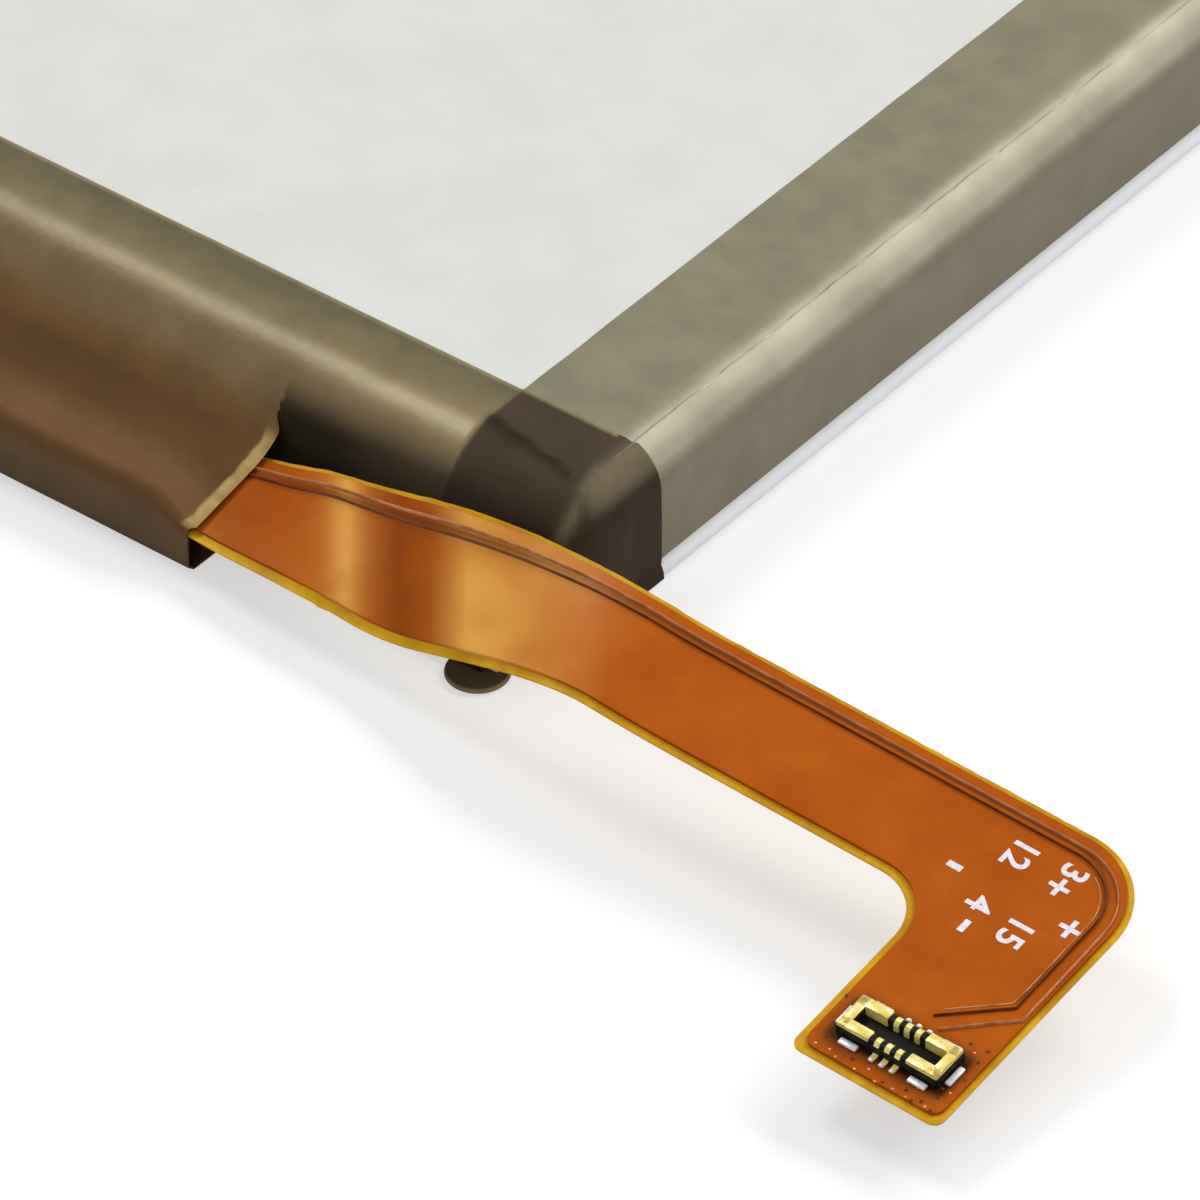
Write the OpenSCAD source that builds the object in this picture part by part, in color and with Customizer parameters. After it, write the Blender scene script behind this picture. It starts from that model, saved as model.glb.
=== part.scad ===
// Pouch battery pack with a taped-over protection board and an L-shaped flex lead.
// Millimetres. +X runs to the lead's side, +Y away from the board's end, +Z up.
// The origin is the centre of the cell's flat bottom, between its front and rear walls.

/* [Cell] */
// Width over the folded side seals
cell_w = 62; // [50:1:80]
// Length of the cup, front wall to rear wall
cell_l = 88; // [60:1:120]
// Thickness of the pouch
cell_h = 4.75; // [4.3:0.05:6.5]
// Rounding of the cup's top edge at the front and rear
nose_r = 2.5; // [1.5:0.1:3]
// Rounding of the cup's top edge along its sides
side_r = 1.2; // [0.8:0.1:1.6]
// Rounding of the cup's corners seen from above
corner_r = 0.9; // [0.5:0.1:1.4]
// Rounding of the cup's bottom edge
bottom_r = 0.3; // [0.1:0.05:0.4]

/* [Seals] */
// Thickness of a side seal folded up against the cup
fold_t = 0.15; // [0.1:0.01:0.25]
// How far in from the side the folded seal's raw edge lies
fold_in = 0.9; // [0.6:0.05:1.1]
// Radius of the bead where the side seal turns up at the bottom
bead_r = 0.5; // [0.35:0.05:0.6]
// How far the bead stands out past the folded seal
bead_out = 0.12; // [0.05:0.01:0.2]
// Reach of the terrace, the sealed ledge in front of the cup
terrace_l = 2.2; // [1.6:0.1:3]
// Thickness of the terrace
terrace_t = 0.25; // [0.2:0.01:0.35]
// Height of the terrace above the cell's bottom
terrace_lift = 0.1; // [0.08:0.01:0.15]

/* [Tabs] */
// Width of each cell tab
tab_w = 4; // [3:0.5:6]
// Thickness of each cell tab
tab_t = 0.1; // [0.08:0.01:0.15]
// Distance between the two tabs' centres
tab_pitch = 17; // [12:0.5:24]
// How far a tab's fold stands out past the terrace
tab_out = 0.75; // [0.6:0.05:1]
// Length of a tab's upper run, back over the terrace
tab_run = 1.5; // [1:0.1:1.9]
// How far the sealant film shows past the terrace
film_out = 0.3; // [0.2:0.05:0.4]
// How far the sealant film stands out beside its tab
film_side = 1; // [0.5:0.1:2]

/* [Board] */
// Length of the protection board
board_l = 37; // [30:0.5:38]
// Width of the protection board
board_w = 2.7; // [2.3:0.1:2.85]
// Thickness of the protection board
board_t = 0.5; // [0.4:0.05:0.6]
// Gap between the cup's front wall and the board
board_gap = 0.9; // [0.75:0.05:1.1]
// Height of the board's underside above the terrace
board_lift = 0.45; // [0.4:0.01:0.55]
// Thickness of the nickel plates that the tabs are welded to
plate_t = 0.15; // [0.1:0.01:0.18]
// How far a nickel plate stands out beside its tab
plate_side = 0.2; // [0.1:0.05:0.4]
// Gap beside each foam strip on the terrace
foam_gap = 0.5; // [0.3:0.05:0.8]
// Thickness of the amber film over the board
wrap_t = 0.06; // [0.04:0.01:0.08]
// Room between the amber film and the tape
wrap_gap = 0.03; // [0.02:0.01:0.05]
// Length of a power switch chip
switch_l = 3; // [2.5:0.1:3.5]
// Width of a power switch chip
switch_w = 1.8; // [1.5:0.1:2]
// Height of a power switch chip
switch_h = 0.65; // [0.5:0.05:0.75]
// Side of the protection chip
chip_w = 1.5; // [1.2:0.1:1.8]
// Height of the protection chip
chip_h = 0.5; // [0.4:0.05:0.7]
// Length of the largest chip parts, the sense resistor and the fuse
large_l = 2; // [1.8:0.1:2.2]
// Width of the largest chip parts
large_w = 1.25; // [1:0.05:1.4]
// Length of the small chip resistors and capacitors
small_l = 1; // [0.8:0.05:1.1]
// Height of the largest chip parts
large_h = 0.5; // [0.4:0.05:0.6]
// Width of the small chip parts, and height of the capacitors
small_w = 0.5; // [0.4:0.05:0.6]
// Height of the small chip resistors
resistor_h = 0.35; // [0.3:0.05:0.45]
// Gap between the two rows of small chip parts
small_gap = 0.7; // [0.5:0.05:0.8]

/* [Tapes] */
// Thickness of each tape
tape_t = 0.07; // [0.05:0.01:0.09]
// How far the front tape reaches back over the top from the cup's front wall
front_tape_top = 3.9; // [3.2:0.1:6]
// How far a side tape reaches in over the top
side_tape_top = 4.9; // [3:0.1:8]
// Height of the side tapes' lower edges
side_tape_low = 1; // [0.8:0.05:1.4]
// Reach of the taped head in front of the cup
head_l = 4; // [3.9:0.05:4.5]
// Height of the taped shelf over the board
shelf_z = 2.4; // [2.35:0.05:2.6]
// Slope of the front tape between the cup and the shelf, in degrees
bridge_a = 35; // [30:1:45]
// Least length of flat shelf; a thicker cell makes the slope steeper instead of using it up
shelf_flat = 0.4; // [0.2:0.05:0.6]
// Radius of the hollow curve at the foot of that slope
bridge_r = 3; // [1.5:0.1:3.5]
// Rounding of the head's upper front edge
head_r = 0.45; // [0.3:0.05:0.6]
// Rounding of the head's lower front edge
heel_r = 0.15; // [0.1:0.01:0.2]
// Distance from the cell's side to the slit where the lead comes out
slit_in = 11; // [9:0.5:12]
// Radius of the tape's rounded ear at the terrace's corner
ear_r = 1.05; // [0.8:0.05:1.2]

/* [Lead] */
// Gap between the cup's front wall and the lead's rear edge
lead_gap = 0.5; // [0.4:0.05:0.7]
// Width of the lead's arm
arm_w = 4.4; // [4.1:0.1:5]
// How much narrower the lead is where it lies on the board
arm_waist = 1.15; // [1.05:0.05:1.3]
// Length of lead that lies over the board's end
lead_on_board = 5; // [4:0.5:6]
// How far the tail's outer edge lies past the cell's side
lead_reach = 21.4; // [16:0.1:30]
// Width of the tail
tail_w = 5.1; // [4.6:0.1:6]
// Length of the tail past the arm's front edge
tail_l = 6.4; // [5:0.1:10]
// Outer rounding of the bend
bend_out_r = 2.7; // [1.5:0.1:3.5]
// Inner rounding of the bend
bend_in_r = 1.7; // [0.8:0.1:2.5]
// Rounding of the tail's two end corners
tail_r = 0.35; // [0.2:0.05:0.6]
// How far the lead's crest stays below the top of the cell
crest_drop = 0.4; // [0.2:0.05:0.8]
// Distance from the cell's side to where the lead starts to rise off the board
lift_in = 17; // [14:0.5:18]
// Distance past the cell's side at which the lead has its full width
full_out = 6; // [4:0.5:8]
// Drop of the lead just past its crest
settle = 0.3; // [0.1:0.05:0.5]
// Fall of the lead for each millimetre outwards
fall_out = 0.05; // [0:0.01:0.08]
// Fall of the lead for each millimetre forwards
fall_fwd = 0.14; // [0.08:0.01:0.18]
// Thickness of the base film
film_t = 0.05; // [0.04:0.005:0.07]
// Thickness of the copper and its cover film
copper_t = 0.06; // [0.05:0.005:0.09]
// Bare border of the base film
border = 0.3; // [0.2:0.05:0.45]
// Bond line between the two films
bond_t = 0.04; // [0.035:0.005:0.05]
// Bond line under the sense traces
trace_bond_t = 0.02; // [0.015:0.005:0.03]
// Distance from the lead's outer edge to the sense trace
trace_in = 0.65; // [0.5:0.05:0.8]
// Width of the sense trace
trace_w = 0.18; // [0.12:0.02:0.25]
// Gap between the two sense traces
trace_gap = 0.12; // [0.08:0.02:0.2]
// Height of the sense traces over the cover film
trace_t = 0.03; // [0.02:0.005:0.05]
// Thickness of the stiffener under the header
stiff_t = 0.2; // [0.1:0.05:0.3]
// Side of each square solder pad at the lead's root
pad_l = 0.5; // [0.4:0.05:0.55]
// Gap between the solder pads
pad_gap = 0.1; // [0.08:0.02:0.12]

/* [Header] */
// Pitch of the signal contacts
pitch = 0.35; // [0.3:0.01:0.4]
// Signal contacts in each row
row_count = 3; // [2:1:4]
// Distance between the two rows
row_gap = 0.89; // [0.8:0.01:1]
// Distance from the header's centre to the tail's end
header_in = 1.6; // [1.4:0.05:1.9]
// Height of the header's housing
housing_h = 0.42; // [0.35:0.01:0.5]
// Thickness of the housing's long walls
wall_t = 0.24; // [0.2:0.01:0.3]
// Floor of the housing
floor_t = 0.12; // [0.08:0.01:0.16]
// Thickness of the housing's end walls
end_t = 0.3; // [0.2:0.05:0.4]
// Length of each power contact along the header
power_l = 1.05; // [0.9:0.05:1.2]
// Width of a signal contact
contact_w = 0.17; // [0.14:0.01:0.2]
// Thickness of the contact metal
contact_t = 0.05; // [0.04:0.005:0.07]
// Length of a signal contact's solder foot
foot_l = 0.28; // [0.2:0.02:0.34]
// Gap between the signal contacts and each power contact
power_gap = 0.2; // [0.15:0.01:0.3]

/* [Hidden] */
$fn = 48;
arc_steps = 10;
eps = 0.001;
stiff_gap = 0.01;

// The cup, the terrace and the folds
body_w = cell_w - 2 * fold_t;
front_y = -cell_l / 2;
rear_y = cell_l / 2;
side_x = cell_w / 2;
shoulder_x = side_x - fold_t - side_r;
shoulder_z = cell_h - side_r;
fold_r = side_r + fold_t;
fold_a = asin((side_x - fold_in - shoulder_x) / fold_r);
corner_x = side_x - fold_t - corner_r;
terrace_y = front_y - terrace_l;
terrace_z = terrace_lift + terrace_t;

// The tapes. Each is drawn running into what it is stuck to by sink, and that is then cut away.
sink = 0.05;
tape_rear_y = front_y + front_tape_top;
head_y = front_y - head_l;
slit_x = side_x - slit_in;
under_y = front_y - bottom_r;
shelf_in = shelf_z - tape_t;
head_in_y = head_y + tape_t;
head_in_r = head_r - tape_t;
slope_run = nose_r + head_l - tape_t - head_in_r - shelf_flat;
slope_rise = cell_h - shelf_in;
curved = slope_rise * (2 * nose_r + 2 * bridge_r - slope_rise);
steep_a = 2 * atan(slope_rise / (slope_run + sqrt(slope_run * slope_run - curved)));
slope_a = max(bridge_a, steep_a);
hollow_y = front_y + nose_r - slope_rise / tan(slope_a) - (nose_r + bridge_r) * tan(slope_a / 2);

// The board and the tabs
board_z = terrace_z + board_lift;
board_top = board_z + board_t;
board_y = front_y - board_gap - board_w / 2;
tab_z = terrace_lift + terrace_t / 2;
run_z = board_z - plate_t - tab_t / 2;
tab_fold_r = (run_z - tab_z) / 2;
tab_fold_y = terrace_y - tab_out + tab_fold_r + tab_t / 2;
foam_in = tab_pitch / 2 - tab_w / 2 - film_side - foam_gap;
foam_out = tab_pitch / 2 + tab_w / 2 + film_side + foam_gap;

// The lead
lead_rear_y = front_y - lead_gap;
lead_front_y = lead_rear_y - arm_w;
lead_start_x = board_l / 2 - lead_on_board;
tail_x = side_x + lead_reach;
tail_in_x = tail_x - tail_w;
bend_x = tail_in_x - bend_in_r;
bend_y = lead_front_y - bend_in_r;
tail_y = lead_front_y - tail_l;
crest_z = cell_h - crest_drop;
flat_x = side_x + full_out;
lift_x = side_x - lift_in;
film_top = film_t + bond_t + copper_t;
tilt_y = atan(fall_out);
tilt_x = atan(fall_fwd * cos(tilt_y));

// Where the lead settles past the cell's side, and over what length; where its even fall starts
settle_x = side_x + 1;
settle_l = 5;
fall_x = side_x + 4;
// The front edge rises a first share just past the slit, and the rest round the cell's side
first_share = 0.12;
first_l = 4;
rise_x = side_x - 5.05;
rise_l = 9.3;

// The header
header_x = tail_x - tail_w / 2;
header_y = tail_y + header_in;
signal_l = (row_count - 1) * pitch + contact_w;
header_l = signal_l + 2 * power_gap + 2 * power_l;
header_w = row_gap + wall_t;
power_foot = 0.4 * foot_l;
end_foot = 0.5 * foot_l;

// Helpers: solids drawn by a section and run along X or Y, and curves
module along_x(x0, x1) {
    translate([x0, 0, 0]) rotate([90, 0, 90]) linear_extrude(x1 - x0) children();
}
module along_y(y0, y1) {
    translate([0, y1, 0]) rotate([90, 0, 0]) linear_extrude(y1 - y0) children();
}
module block(size, at) {
    translate([at[0] - size[0] / 2, at[1] - size[1] / 2, at[2]]) cube(size);
}
function arc(c, r, a0, a1, n = arc_steps) =
    [for (i = [0 : n]) let (a = a0 + (a1 - a0) * i / n) c + r * [cos(a), sin(a)]];
function flip(p) = [for (i = [len(p) - 1 : -1 : 0]) p[i]];
function clamp(t) = min(1, max(0, t));
function ease(t) = let (c = clamp(t)) c * c * (3 - 2 * c);

// A box section with rounded top and bottom edges, standing on z = 0
module rounded_section(w, h, top_r, low_r) {
    translate([-w / 2, low_r]) square([w, h - top_r - low_r]);
    translate([low_r - w / 2, 0]) square([w - 2 * low_r, h - top_r]);
    translate([top_r - w / 2, 0]) square([w - 2 * top_r, h]);
    for (s = [-1, 1]) {
        translate([s * (w / 2 - top_r), h - top_r]) circle(top_r);
        translate([s * (w / 2 - low_r), low_r]) circle(low_r);
    }
}
module rounded_plan(w, l, r) {
    square([w - 2 * r, l], center = true);
    square([w, l - 2 * r], center = true);
    for (x = [-1, 1]) for (y = [-1, 1]) translate([x * (w / 2 - r), y * (l / 2 - r)]) circle(r);
}

// A cup form grown by g on its top and sides
module cup_form(g, h) {
    intersection() {
        along_y(front_y - g, rear_y + g) rounded_section(body_w + 2 * g, h + g, side_r + g, bottom_r);
        along_x(-side_x, side_x) rounded_section(cell_l + 2 * g, h + g, nose_r + g, bottom_r);
        linear_extrude(h + g) rounded_plan(body_w + 2 * g, cell_l + 2 * g, corner_r + g);
    }
}

// The side seal's section, folded up the cup's right side and over its shoulder
function shoulder(r) = arc([shoulder_x, shoulder_z], r, 90 - fold_a, 0);
module fold_section() {
    foot = [[side_x, bead_r], [side_x - fold_t, bead_r]];
    polygon(concat(shoulder(fold_r), foot, flip(shoulder(side_r - eps))));
    translate([side_x + bead_out - bead_r, bead_r]) circle(bead_r);
}
module side_fold() {
    intersection() {
        along_y(front_y + corner_r, rear_y - corner_r) fold_section();
        along_x(0, side_x + bead_r) rounded_section(cell_l, cell_h + fold_t, nose_r, bottom_r);
    }
}
module pouch_cell() color("whitesmoke") {
    cup_form(0, cell_h);
    for (s = [0, 1]) mirror([s, 0, 0]) side_fold();
    translate([-corner_x, terrace_y, terrace_lift]) cube([2 * corner_x, terrace_l + corner_r, terrace_t]);
}

// Each tab leaves the terrace, folds over and runs back under the board
module tab_section() {
    translate([tab_fold_y, tab_z - tab_t / 2]) square([terrace_y - tab_fold_y, tab_t]);
    translate([tab_fold_y, run_z - tab_t / 2]) square([tab_run, tab_t]);
    difference() {
        translate([tab_fold_y, tab_z + tab_fold_r]) circle(tab_fold_r + tab_t / 2);
        translate([tab_fold_y, tab_z + tab_fold_r]) circle(tab_fold_r - tab_t / 2);
        translate([tab_fold_y, 0]) square(2 * run_z);
    }
}
module tab(x) {
    along_x(x - tab_w / 2, x + tab_w / 2) tab_section();
}
module tab_film(x) {
    difference() {
        block([tab_w + 2 * film_side, film_out, terrace_t], [x, terrace_y - film_out / 2, terrace_lift]);
        block([tab_w, 2 * film_out, tab_t], [x, terrace_y - film_out / 2, tab_z - tab_t / 2]);
    }
}
module positive_tab() color("gainsboro") tab(tab_pitch / 2);
module negative_tab() color("darkgray") tab(-tab_pitch / 2);
module positive_tab_film() color("ivory") tab_film(tab_pitch / 2);
module negative_tab_film() color("ivory") tab_film(-tab_pitch / 2);

// Foam strips on the terrace, beside and between the tabs, that hold the board up
module terrace_foam() color("dimgray") {
    foam_w = terrace_l - board_gap;
    side_l = slit_x - foam_gap - foam_out;
    block([2 * foam_in, foam_w, board_lift], [0, terrace_y + foam_w / 2, terrace_z]);
    for (s = [-1, 1])
        block([side_l, foam_w, board_lift], [s * (foam_out + side_l / 2), terrace_y + foam_w / 2, terrace_z]);
}
module protection_board() color("darkgreen") block([board_l, board_w, board_t], [0, board_y, board_z]);
module weld_plate(x) {
    block([tab_w + 2 * plate_side, tab_run, plate_t], [x, tab_fold_y + tab_run / 2, board_z - plate_t]);
}
module positive_weld_plate() color("silver") weld_plate(tab_pitch / 2);
module negative_weld_plate() color("silver") weld_plate(-tab_pitch / 2);

// The parts on the board's upper face stand in one row, with equal gaps from its negative end
// to the lead's root. The small ones stand two abreast.
SMALL = 4;
part_ls = concat([large_l, switch_l, switch_l, chip_w], [for (i = [1 : 8]) small_l], [large_l]);
function length_of(n) = n == 0 ? 0 : part_ls[n - 1] + length_of(n - 1);
part_gap = (board_l - lead_on_board - pad_l - length_of(len(part_ls))) / (len(part_ls) + 1);
function part_x(i) = (i + 1) * part_gap + length_of(i) + (part_ls[i] - board_l) / 2;
module on_board(i, w, h, side = 0) {
    block([part_ls[i], w, h], [part_x(i), board_y + side * (small_w + small_gap) / 2, board_top]);
}
module small_parts(places, h) {
    for (i = places) for (s = [-1, 1]) on_board(SMALL + i, small_w, h, s);
}
module sense_resistor() color("darkslategray") on_board(0, large_w, large_h);
module power_switches() color("black") for (i = [1, 2]) on_board(i, switch_w, switch_h);
module protection_chip() color("black") on_board(3, chip_w, chip_h);
module chip_capacitors() color("tan") small_parts([0, 2, 4], small_w);
module chip_resistors() color("black") small_parts([1, 3, 5, 6], resistor_h);
module thermistor() color("saddlebrown") on_board(SMALL + 7, small_w, small_w);
module chip_fuse() color("beige") on_board(12, large_w, large_h);

// The front tape's section where it spans from the cup to the board and round the head;
// o is the distance outside its inner face
function bridge_top(o) = concat(
    [[tape_rear_y, cell_h + o]],
    arc([front_y + nose_r, cell_h - nose_r], nose_r + o, 90, 90 + slope_a)
);
function shelf(o) = arc([hollow_y, shelf_in + bridge_r], bridge_r - o, slope_a - 90, -90);
function head(o) = arc([head_in_y + head_in_r, shelf_in - head_in_r], head_in_r + o, 90, 180);
function heel(o) = concat(
    arc([head_in_y + heel_r, tape_t + heel_r], heel_r + o, 180, 270),
    [[under_y, tape_t - o]]
);
function bridge(o, top_o) = concat(bridge_top(top_o), shelf(o), head(o), heel(o));

// The same tape where it lies down the cup's front wall and round the terrace
function hug(o) = concat(
    [[tape_rear_y, cell_h + o]],
    arc([front_y + nose_r, cell_h - nose_r], nose_r + o, 90, 180, 2 * arc_steps),
    [[front_y - o, terrace_z + o], [terrace_y - o, terrace_z + o],
     [terrace_y - o, terrace_lift - o], [under_y, terrace_lift - o]]
);
module film_section(outer, inner) {
    polygon(concat(outer, flip(inner)));
}

// Amber film over the board, just inside the front tape
module board_wrap() color("darkorange") {
    out = -wrap_gap;
    in = -wrap_gap - wrap_t;
    skirt_y = head_in_y;
    along_x(-board_l / 2, board_l / 2) film_section(
        concat([[hollow_y, shelf_in + out]], head(out), [[skirt_y - out, board_top]]),
        concat([[hollow_y, shelf_in + in]], head(in), [[skirt_y - in, board_top]])
    );
}

// A tape along a side: flat on the top, over the folded seal's edge and down the side
function edge_tape_path(o) = concat(
    [[side_x - side_tape_top, cell_h + o], [shoulder_x - fold_t, cell_h + o]],
    shoulder(fold_r + o),
    [[side_x + o, side_tape_low]]
);
module edge_tape() {
    along_y(front_y + nose_r, rear_y - nose_r) film_section(edge_tape_path(tape_t), edge_tape_path(0));
}
module right_edge_tape() color("darkgray") edge_tape();
module left_edge_tape() color("darkgray") mirror([1, 0, 0]) edge_tape();

// The front tape where it steps up over an edge tape and goes round the cell's corner
module corner_cap() {
    g = fold_t + 2 * tape_t;
    step_x = side_x - side_tape_top - tape_t;
    difference() {
        intersection() {
            cup_form(g, cell_h - fold_t);
            translate([step_x, front_y - g, side_tape_low])
                cube([side_x - step_x + g, front_tape_top + g, cell_h + g]);
        }
        cup_form(0, cell_h);
        side_fold();
        edge_tape();
    }
}
module ear() {
    translate([corner_x - ear_r / 2, terrace_y, terrace_lift - tape_t])
        cylinder(r = ear_r, h = terrace_t + 2 * tape_t);
}
module front_tape() color("dimgray") {
    difference() {
        union() {
            along_x(-corner_x, slit_x) film_section(bridge(tape_t, tape_t), bridge(0, -sink));
            along_x(-corner_x, tape_t - corner_x)
                polygon(concat(bridge(tape_t, tape_t), [[front_y + bottom_r, bottom_r]]));
            along_x(slit_x, corner_x) film_section(hug(tape_t), hug(-sink));
            ear();
        }
        pouch_cell();
        right_edge_tape();
        left_edge_tape();
    }
    for (s = [0, 1]) mirror([s, 0, 0]) corner_cap();
}

// Height of the lead's underside along its rear edge and along its front edge
function rear_z(x) = board_top + (crest_z - board_top) * ease((x - lift_x) / lift_in)
    - settle * ease((x - settle_x) / settle_l) - fall_out * max(0, x - fall_x);
front_end_z = crest_z - settle - fall_fwd * arm_w;
function front_rise(x) = first_share * ease((x - slit_x) / first_l)
    + (1 - first_share) * ease((x - rise_x) / rise_l);
function front_z(x) = board_top + (front_end_z - board_top) * front_rise(x) - fall_out * max(0, x - fall_x);
function front_edge(x) = lead_rear_y - arm_w + lookup(x, [
    [board_l / 2, arm_waist], [slit_x + 3, 0.6 * arm_waist], [flat_x, 0]
]);
function lead_z(x, y) =
    let (depth = lead_rear_y - front_edge(x))
    rear_z(x) - (rear_z(x) - front_z(x)) * (lead_rear_y - y) / depth;

// The lead's two edges, drawn in by e, from the board round the bend to the tail's end.
// Both lists have one point for each station along the lead.
arm_n = 64;
bend_n = 8;
function arm_xs(start) = [for (i = [0 : arm_n]) let (x = lead_start_x + start) x + (bend_x - x) * i / arm_n];
function outer_edge(e, start) = concat(
    [for (x = arm_xs(start)) [x, lead_rear_y - e]],
    [for (i = [1 : bend_n]) [bend_x + (tail_x - bend_out_r - bend_x) * i / bend_n, lead_rear_y - e]],
    [for (i = [1 : 2 * bend_n]) [tail_x - bend_out_r, lead_rear_y - bend_out_r]
        + (bend_out_r - e) * [sin(45 * i / bend_n), cos(45 * i / bend_n)]],
    [for (i = [1 : bend_n])
        [tail_x - e, lead_rear_y - bend_out_r + (bend_y - lead_rear_y + bend_out_r) * i / bend_n]]
);
function inner_edge(e, start) = concat(
    [for (x = arm_xs(start)) [x, front_edge(x) + e]],
    [for (i = [1 : 4 * bend_n]) [bend_x, bend_y]
        + (bend_in_r + e) * [sin(22.5 * i / bend_n), cos(22.5 * i / bend_n)]]
);
function tail_outer(e, end_y) = [for (i = [0 : 4])
    [tail_x - e - tail_r * (1 - cos(22.5 * i)), end_y + tail_r * (1 - sin(22.5 * i))]];
function tail_inner(e, end_y) = [for (i = [0 : 4])
    [tail_in_x + e + tail_r * (1 - cos(22.5 * i)), end_y + tail_r * (1 - sin(22.5 * i))]];

// A thin sheet between two lists of edge points, z0 to z1 above the lead's underside
module sheet(a, b, z0, z1) {
    n = len(a);
    function lifted(p, z) = [p[0], p[1], lead_z(p[0], p[1]) + z];
    points = [for (i = [0 : n - 1]) each [
        lifted(a[i], z0), lifted(b[i], z0), lifted(b[i], z1), lifted(a[i], z1)
    ]];
    // The faces above and below split along the same diagonal, so that a twisted stretch keeps its thickness
    sides = [for (i = [0 : n - 2]) for (k = [0 : 3]) let (
        here = 4 * i + k, next = 4 * i + (k + 1) % 4, there = here + 4, last = next + 4
    ) each k == 2
        ? [[here, next, there], [next, last, there]]
        : [[here, next, last], [here, last, there]]];
    end = 4 * (n - 1);
    polyhedron(points, concat([[3, 2, 1, 0]], sides, [[end, end + 1, end + 2, end + 3]]));
}
module lead_sheet(e, z0, z1) {
    sheet(
        concat(outer_edge(e, e), tail_outer(e, tail_y + e)),
        concat(inner_edge(e, e), tail_inner(e, tail_y + e)),
        z0, z1
    );
}
module flex_base_film() color("gold") lead_sheet(0, 0, film_t);
module flex_copper() color("chocolate") lead_sheet(border, film_t + bond_t, film_top);

// Places its children on the tail's upper face, at x and y
module on_tail(x, y, z = film_top) {
    translate([x, y, lead_z(x, y) + z]) rotate([tilt_x, tilt_y, 0]) children();
}

// Two ridges beside the lead's outer edge that turn in to the header
module trace_run(e) {
    z = film_top + trace_bond_t;
    sheet(outer_edge(e, trace_in), outer_edge(e + trace_w, trace_in), z, z + trace_t);
}
module trace_turn(e, y) {
    turn_x = tail_x - e - trace_w;
    run = header_l / 2 - power_l;
    reach = turn_x - header_x - run;
    on_tail(turn_x, y, film_top + trace_bond_t) linear_extrude(trace_t)
        polygon([[0, 0], [trace_w, 0], [trace_w, -trace_w], [-reach, -reach], [-reach, trace_w - reach]]);
}
module sense_traces() color("peru") {
    second = trace_in + trace_w + trace_gap;
    for (e = [trace_in, second]) {
        trace_run(e);
        trace_turn(e, bend_y + eps);
    }
}

// Solder at the lead's root, on the board
module flex_solder() color("lightgray") {
    pad_x = lead_start_x - pad_l / 2;
    for (i = [-1.5 : 1.5])
        block([pad_l, pad_l, film_t + copper_t], [pad_x, board_y + i * (pad_l + pad_gap), board_top]);
}
module flex_stiffener() color("dimgray") {
    plate = [tail_w - 2 * border, 2 * (header_in - border), stiff_t - stiff_gap];
    on_tail(header_x, header_y, -stiff_t) block(plate, [0, 0, 0]);
}

// The header, drawn about its own centre
module at_header() {
    on_tail(header_x, header_y) children();
}
module header_housing() color("black") at_header() difference() {
    block([header_l - 2 * contact_t, header_w, housing_h], [0, 0, 0]);
    block([header_l - 2 * end_t, row_gap - wall_t, housing_h], [0, 0, floor_t]);
}
// A strip folded over a long wall: foot, outer leg, crown and an inner leg shorter by cut
module staple(w, foot, cut = 0) {
    out = header_w / 2;
    in = out - wall_t;
    block([w, contact_t, housing_h + contact_t], [0, out + contact_t / 2, 0]);
    block([w, wall_t + contact_t, contact_t], [0, (out + in + contact_t) / 2, housing_h]);
    block([w - cut, contact_t, housing_h + contact_t - floor_t], [-cut / 2, in - contact_t / 2, floor_t]);
    block([w, foot, contact_t], [0, out + foot / 2, 0]);
}
module signal_contacts() color("gold") at_header()
    for (i = [0 : row_count - 1]) for (s = [0, 1]) mirror([0, s, 0])
        translate([(i - (row_count - 1) / 2) * pitch, 0, 0]) staple(contact_w, foot_l);
module power_contact() {
    centre = header_l / 2 - power_l / 2;
    for (s = [0, 1]) mirror([0, s, 0]) translate([centre, 0, 0]) staple(power_l, power_foot, end_t);
    block([contact_t, header_w + 2 * contact_t, housing_h + contact_t], [header_l / 2 - contact_t / 2, 0, 0]);
    block([end_t, row_gap - wall_t, contact_t], [header_l / 2 - end_t / 2, 0, housing_h]);
}
module positive_contact() color("gold") at_header() power_contact();
module negative_contact() color("gold") at_header() mirror([1, 0, 0]) power_contact();
module contact_solder() color("white") at_header() {
    out = header_w / 2 + contact_t;
    for (x = [-1, 1]) {
        for (s = [0, 1]) mirror([0, s, 0])
            block([0.6 * power_l, power_foot, 2 * contact_t],
                [x * (header_l - power_l) / 2, out + 1.5 * power_foot, 0]);
        block([end_foot, 0.6 * header_w, 2 * contact_t], [x * (header_l + end_foot) / 2, 0, 0]);
    }
}

pouch_cell();
positive_tab();
negative_tab();
positive_tab_film();
negative_tab_film();
terrace_foam();
protection_board();
positive_weld_plate();
negative_weld_plate();
power_switches();
protection_chip();
sense_resistor();
chip_fuse();
chip_capacitors();
chip_resistors();
thermistor();
board_wrap();
flex_base_film();
flex_copper();
sense_traces();
flex_solder();
flex_stiffener();
header_housing();
signal_contacts();
positive_contact();
negative_contact();
contact_solder();
front_tape();
right_edge_tape();
left_edge_tape();
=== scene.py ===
# %% [markdown]
# # A pouch battery pack with a flex lead
# The pack is a flat grey pouch with taped edges. At one end its tape bridges over a small
# protection board, and an amber flex lead comes out through a slit and ends in a tiny header.
# The solids already give every size. This file dresses them: it models the films that the eye
# reads first, gives every surface a finish, and lights the pack plainly.

# %% Load the frame
import math
import bpy
import bmesh
import numpy as np
from mathutils import Matrix, Vector, noise
from mathutils.bvhtree import BVHTree


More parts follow.
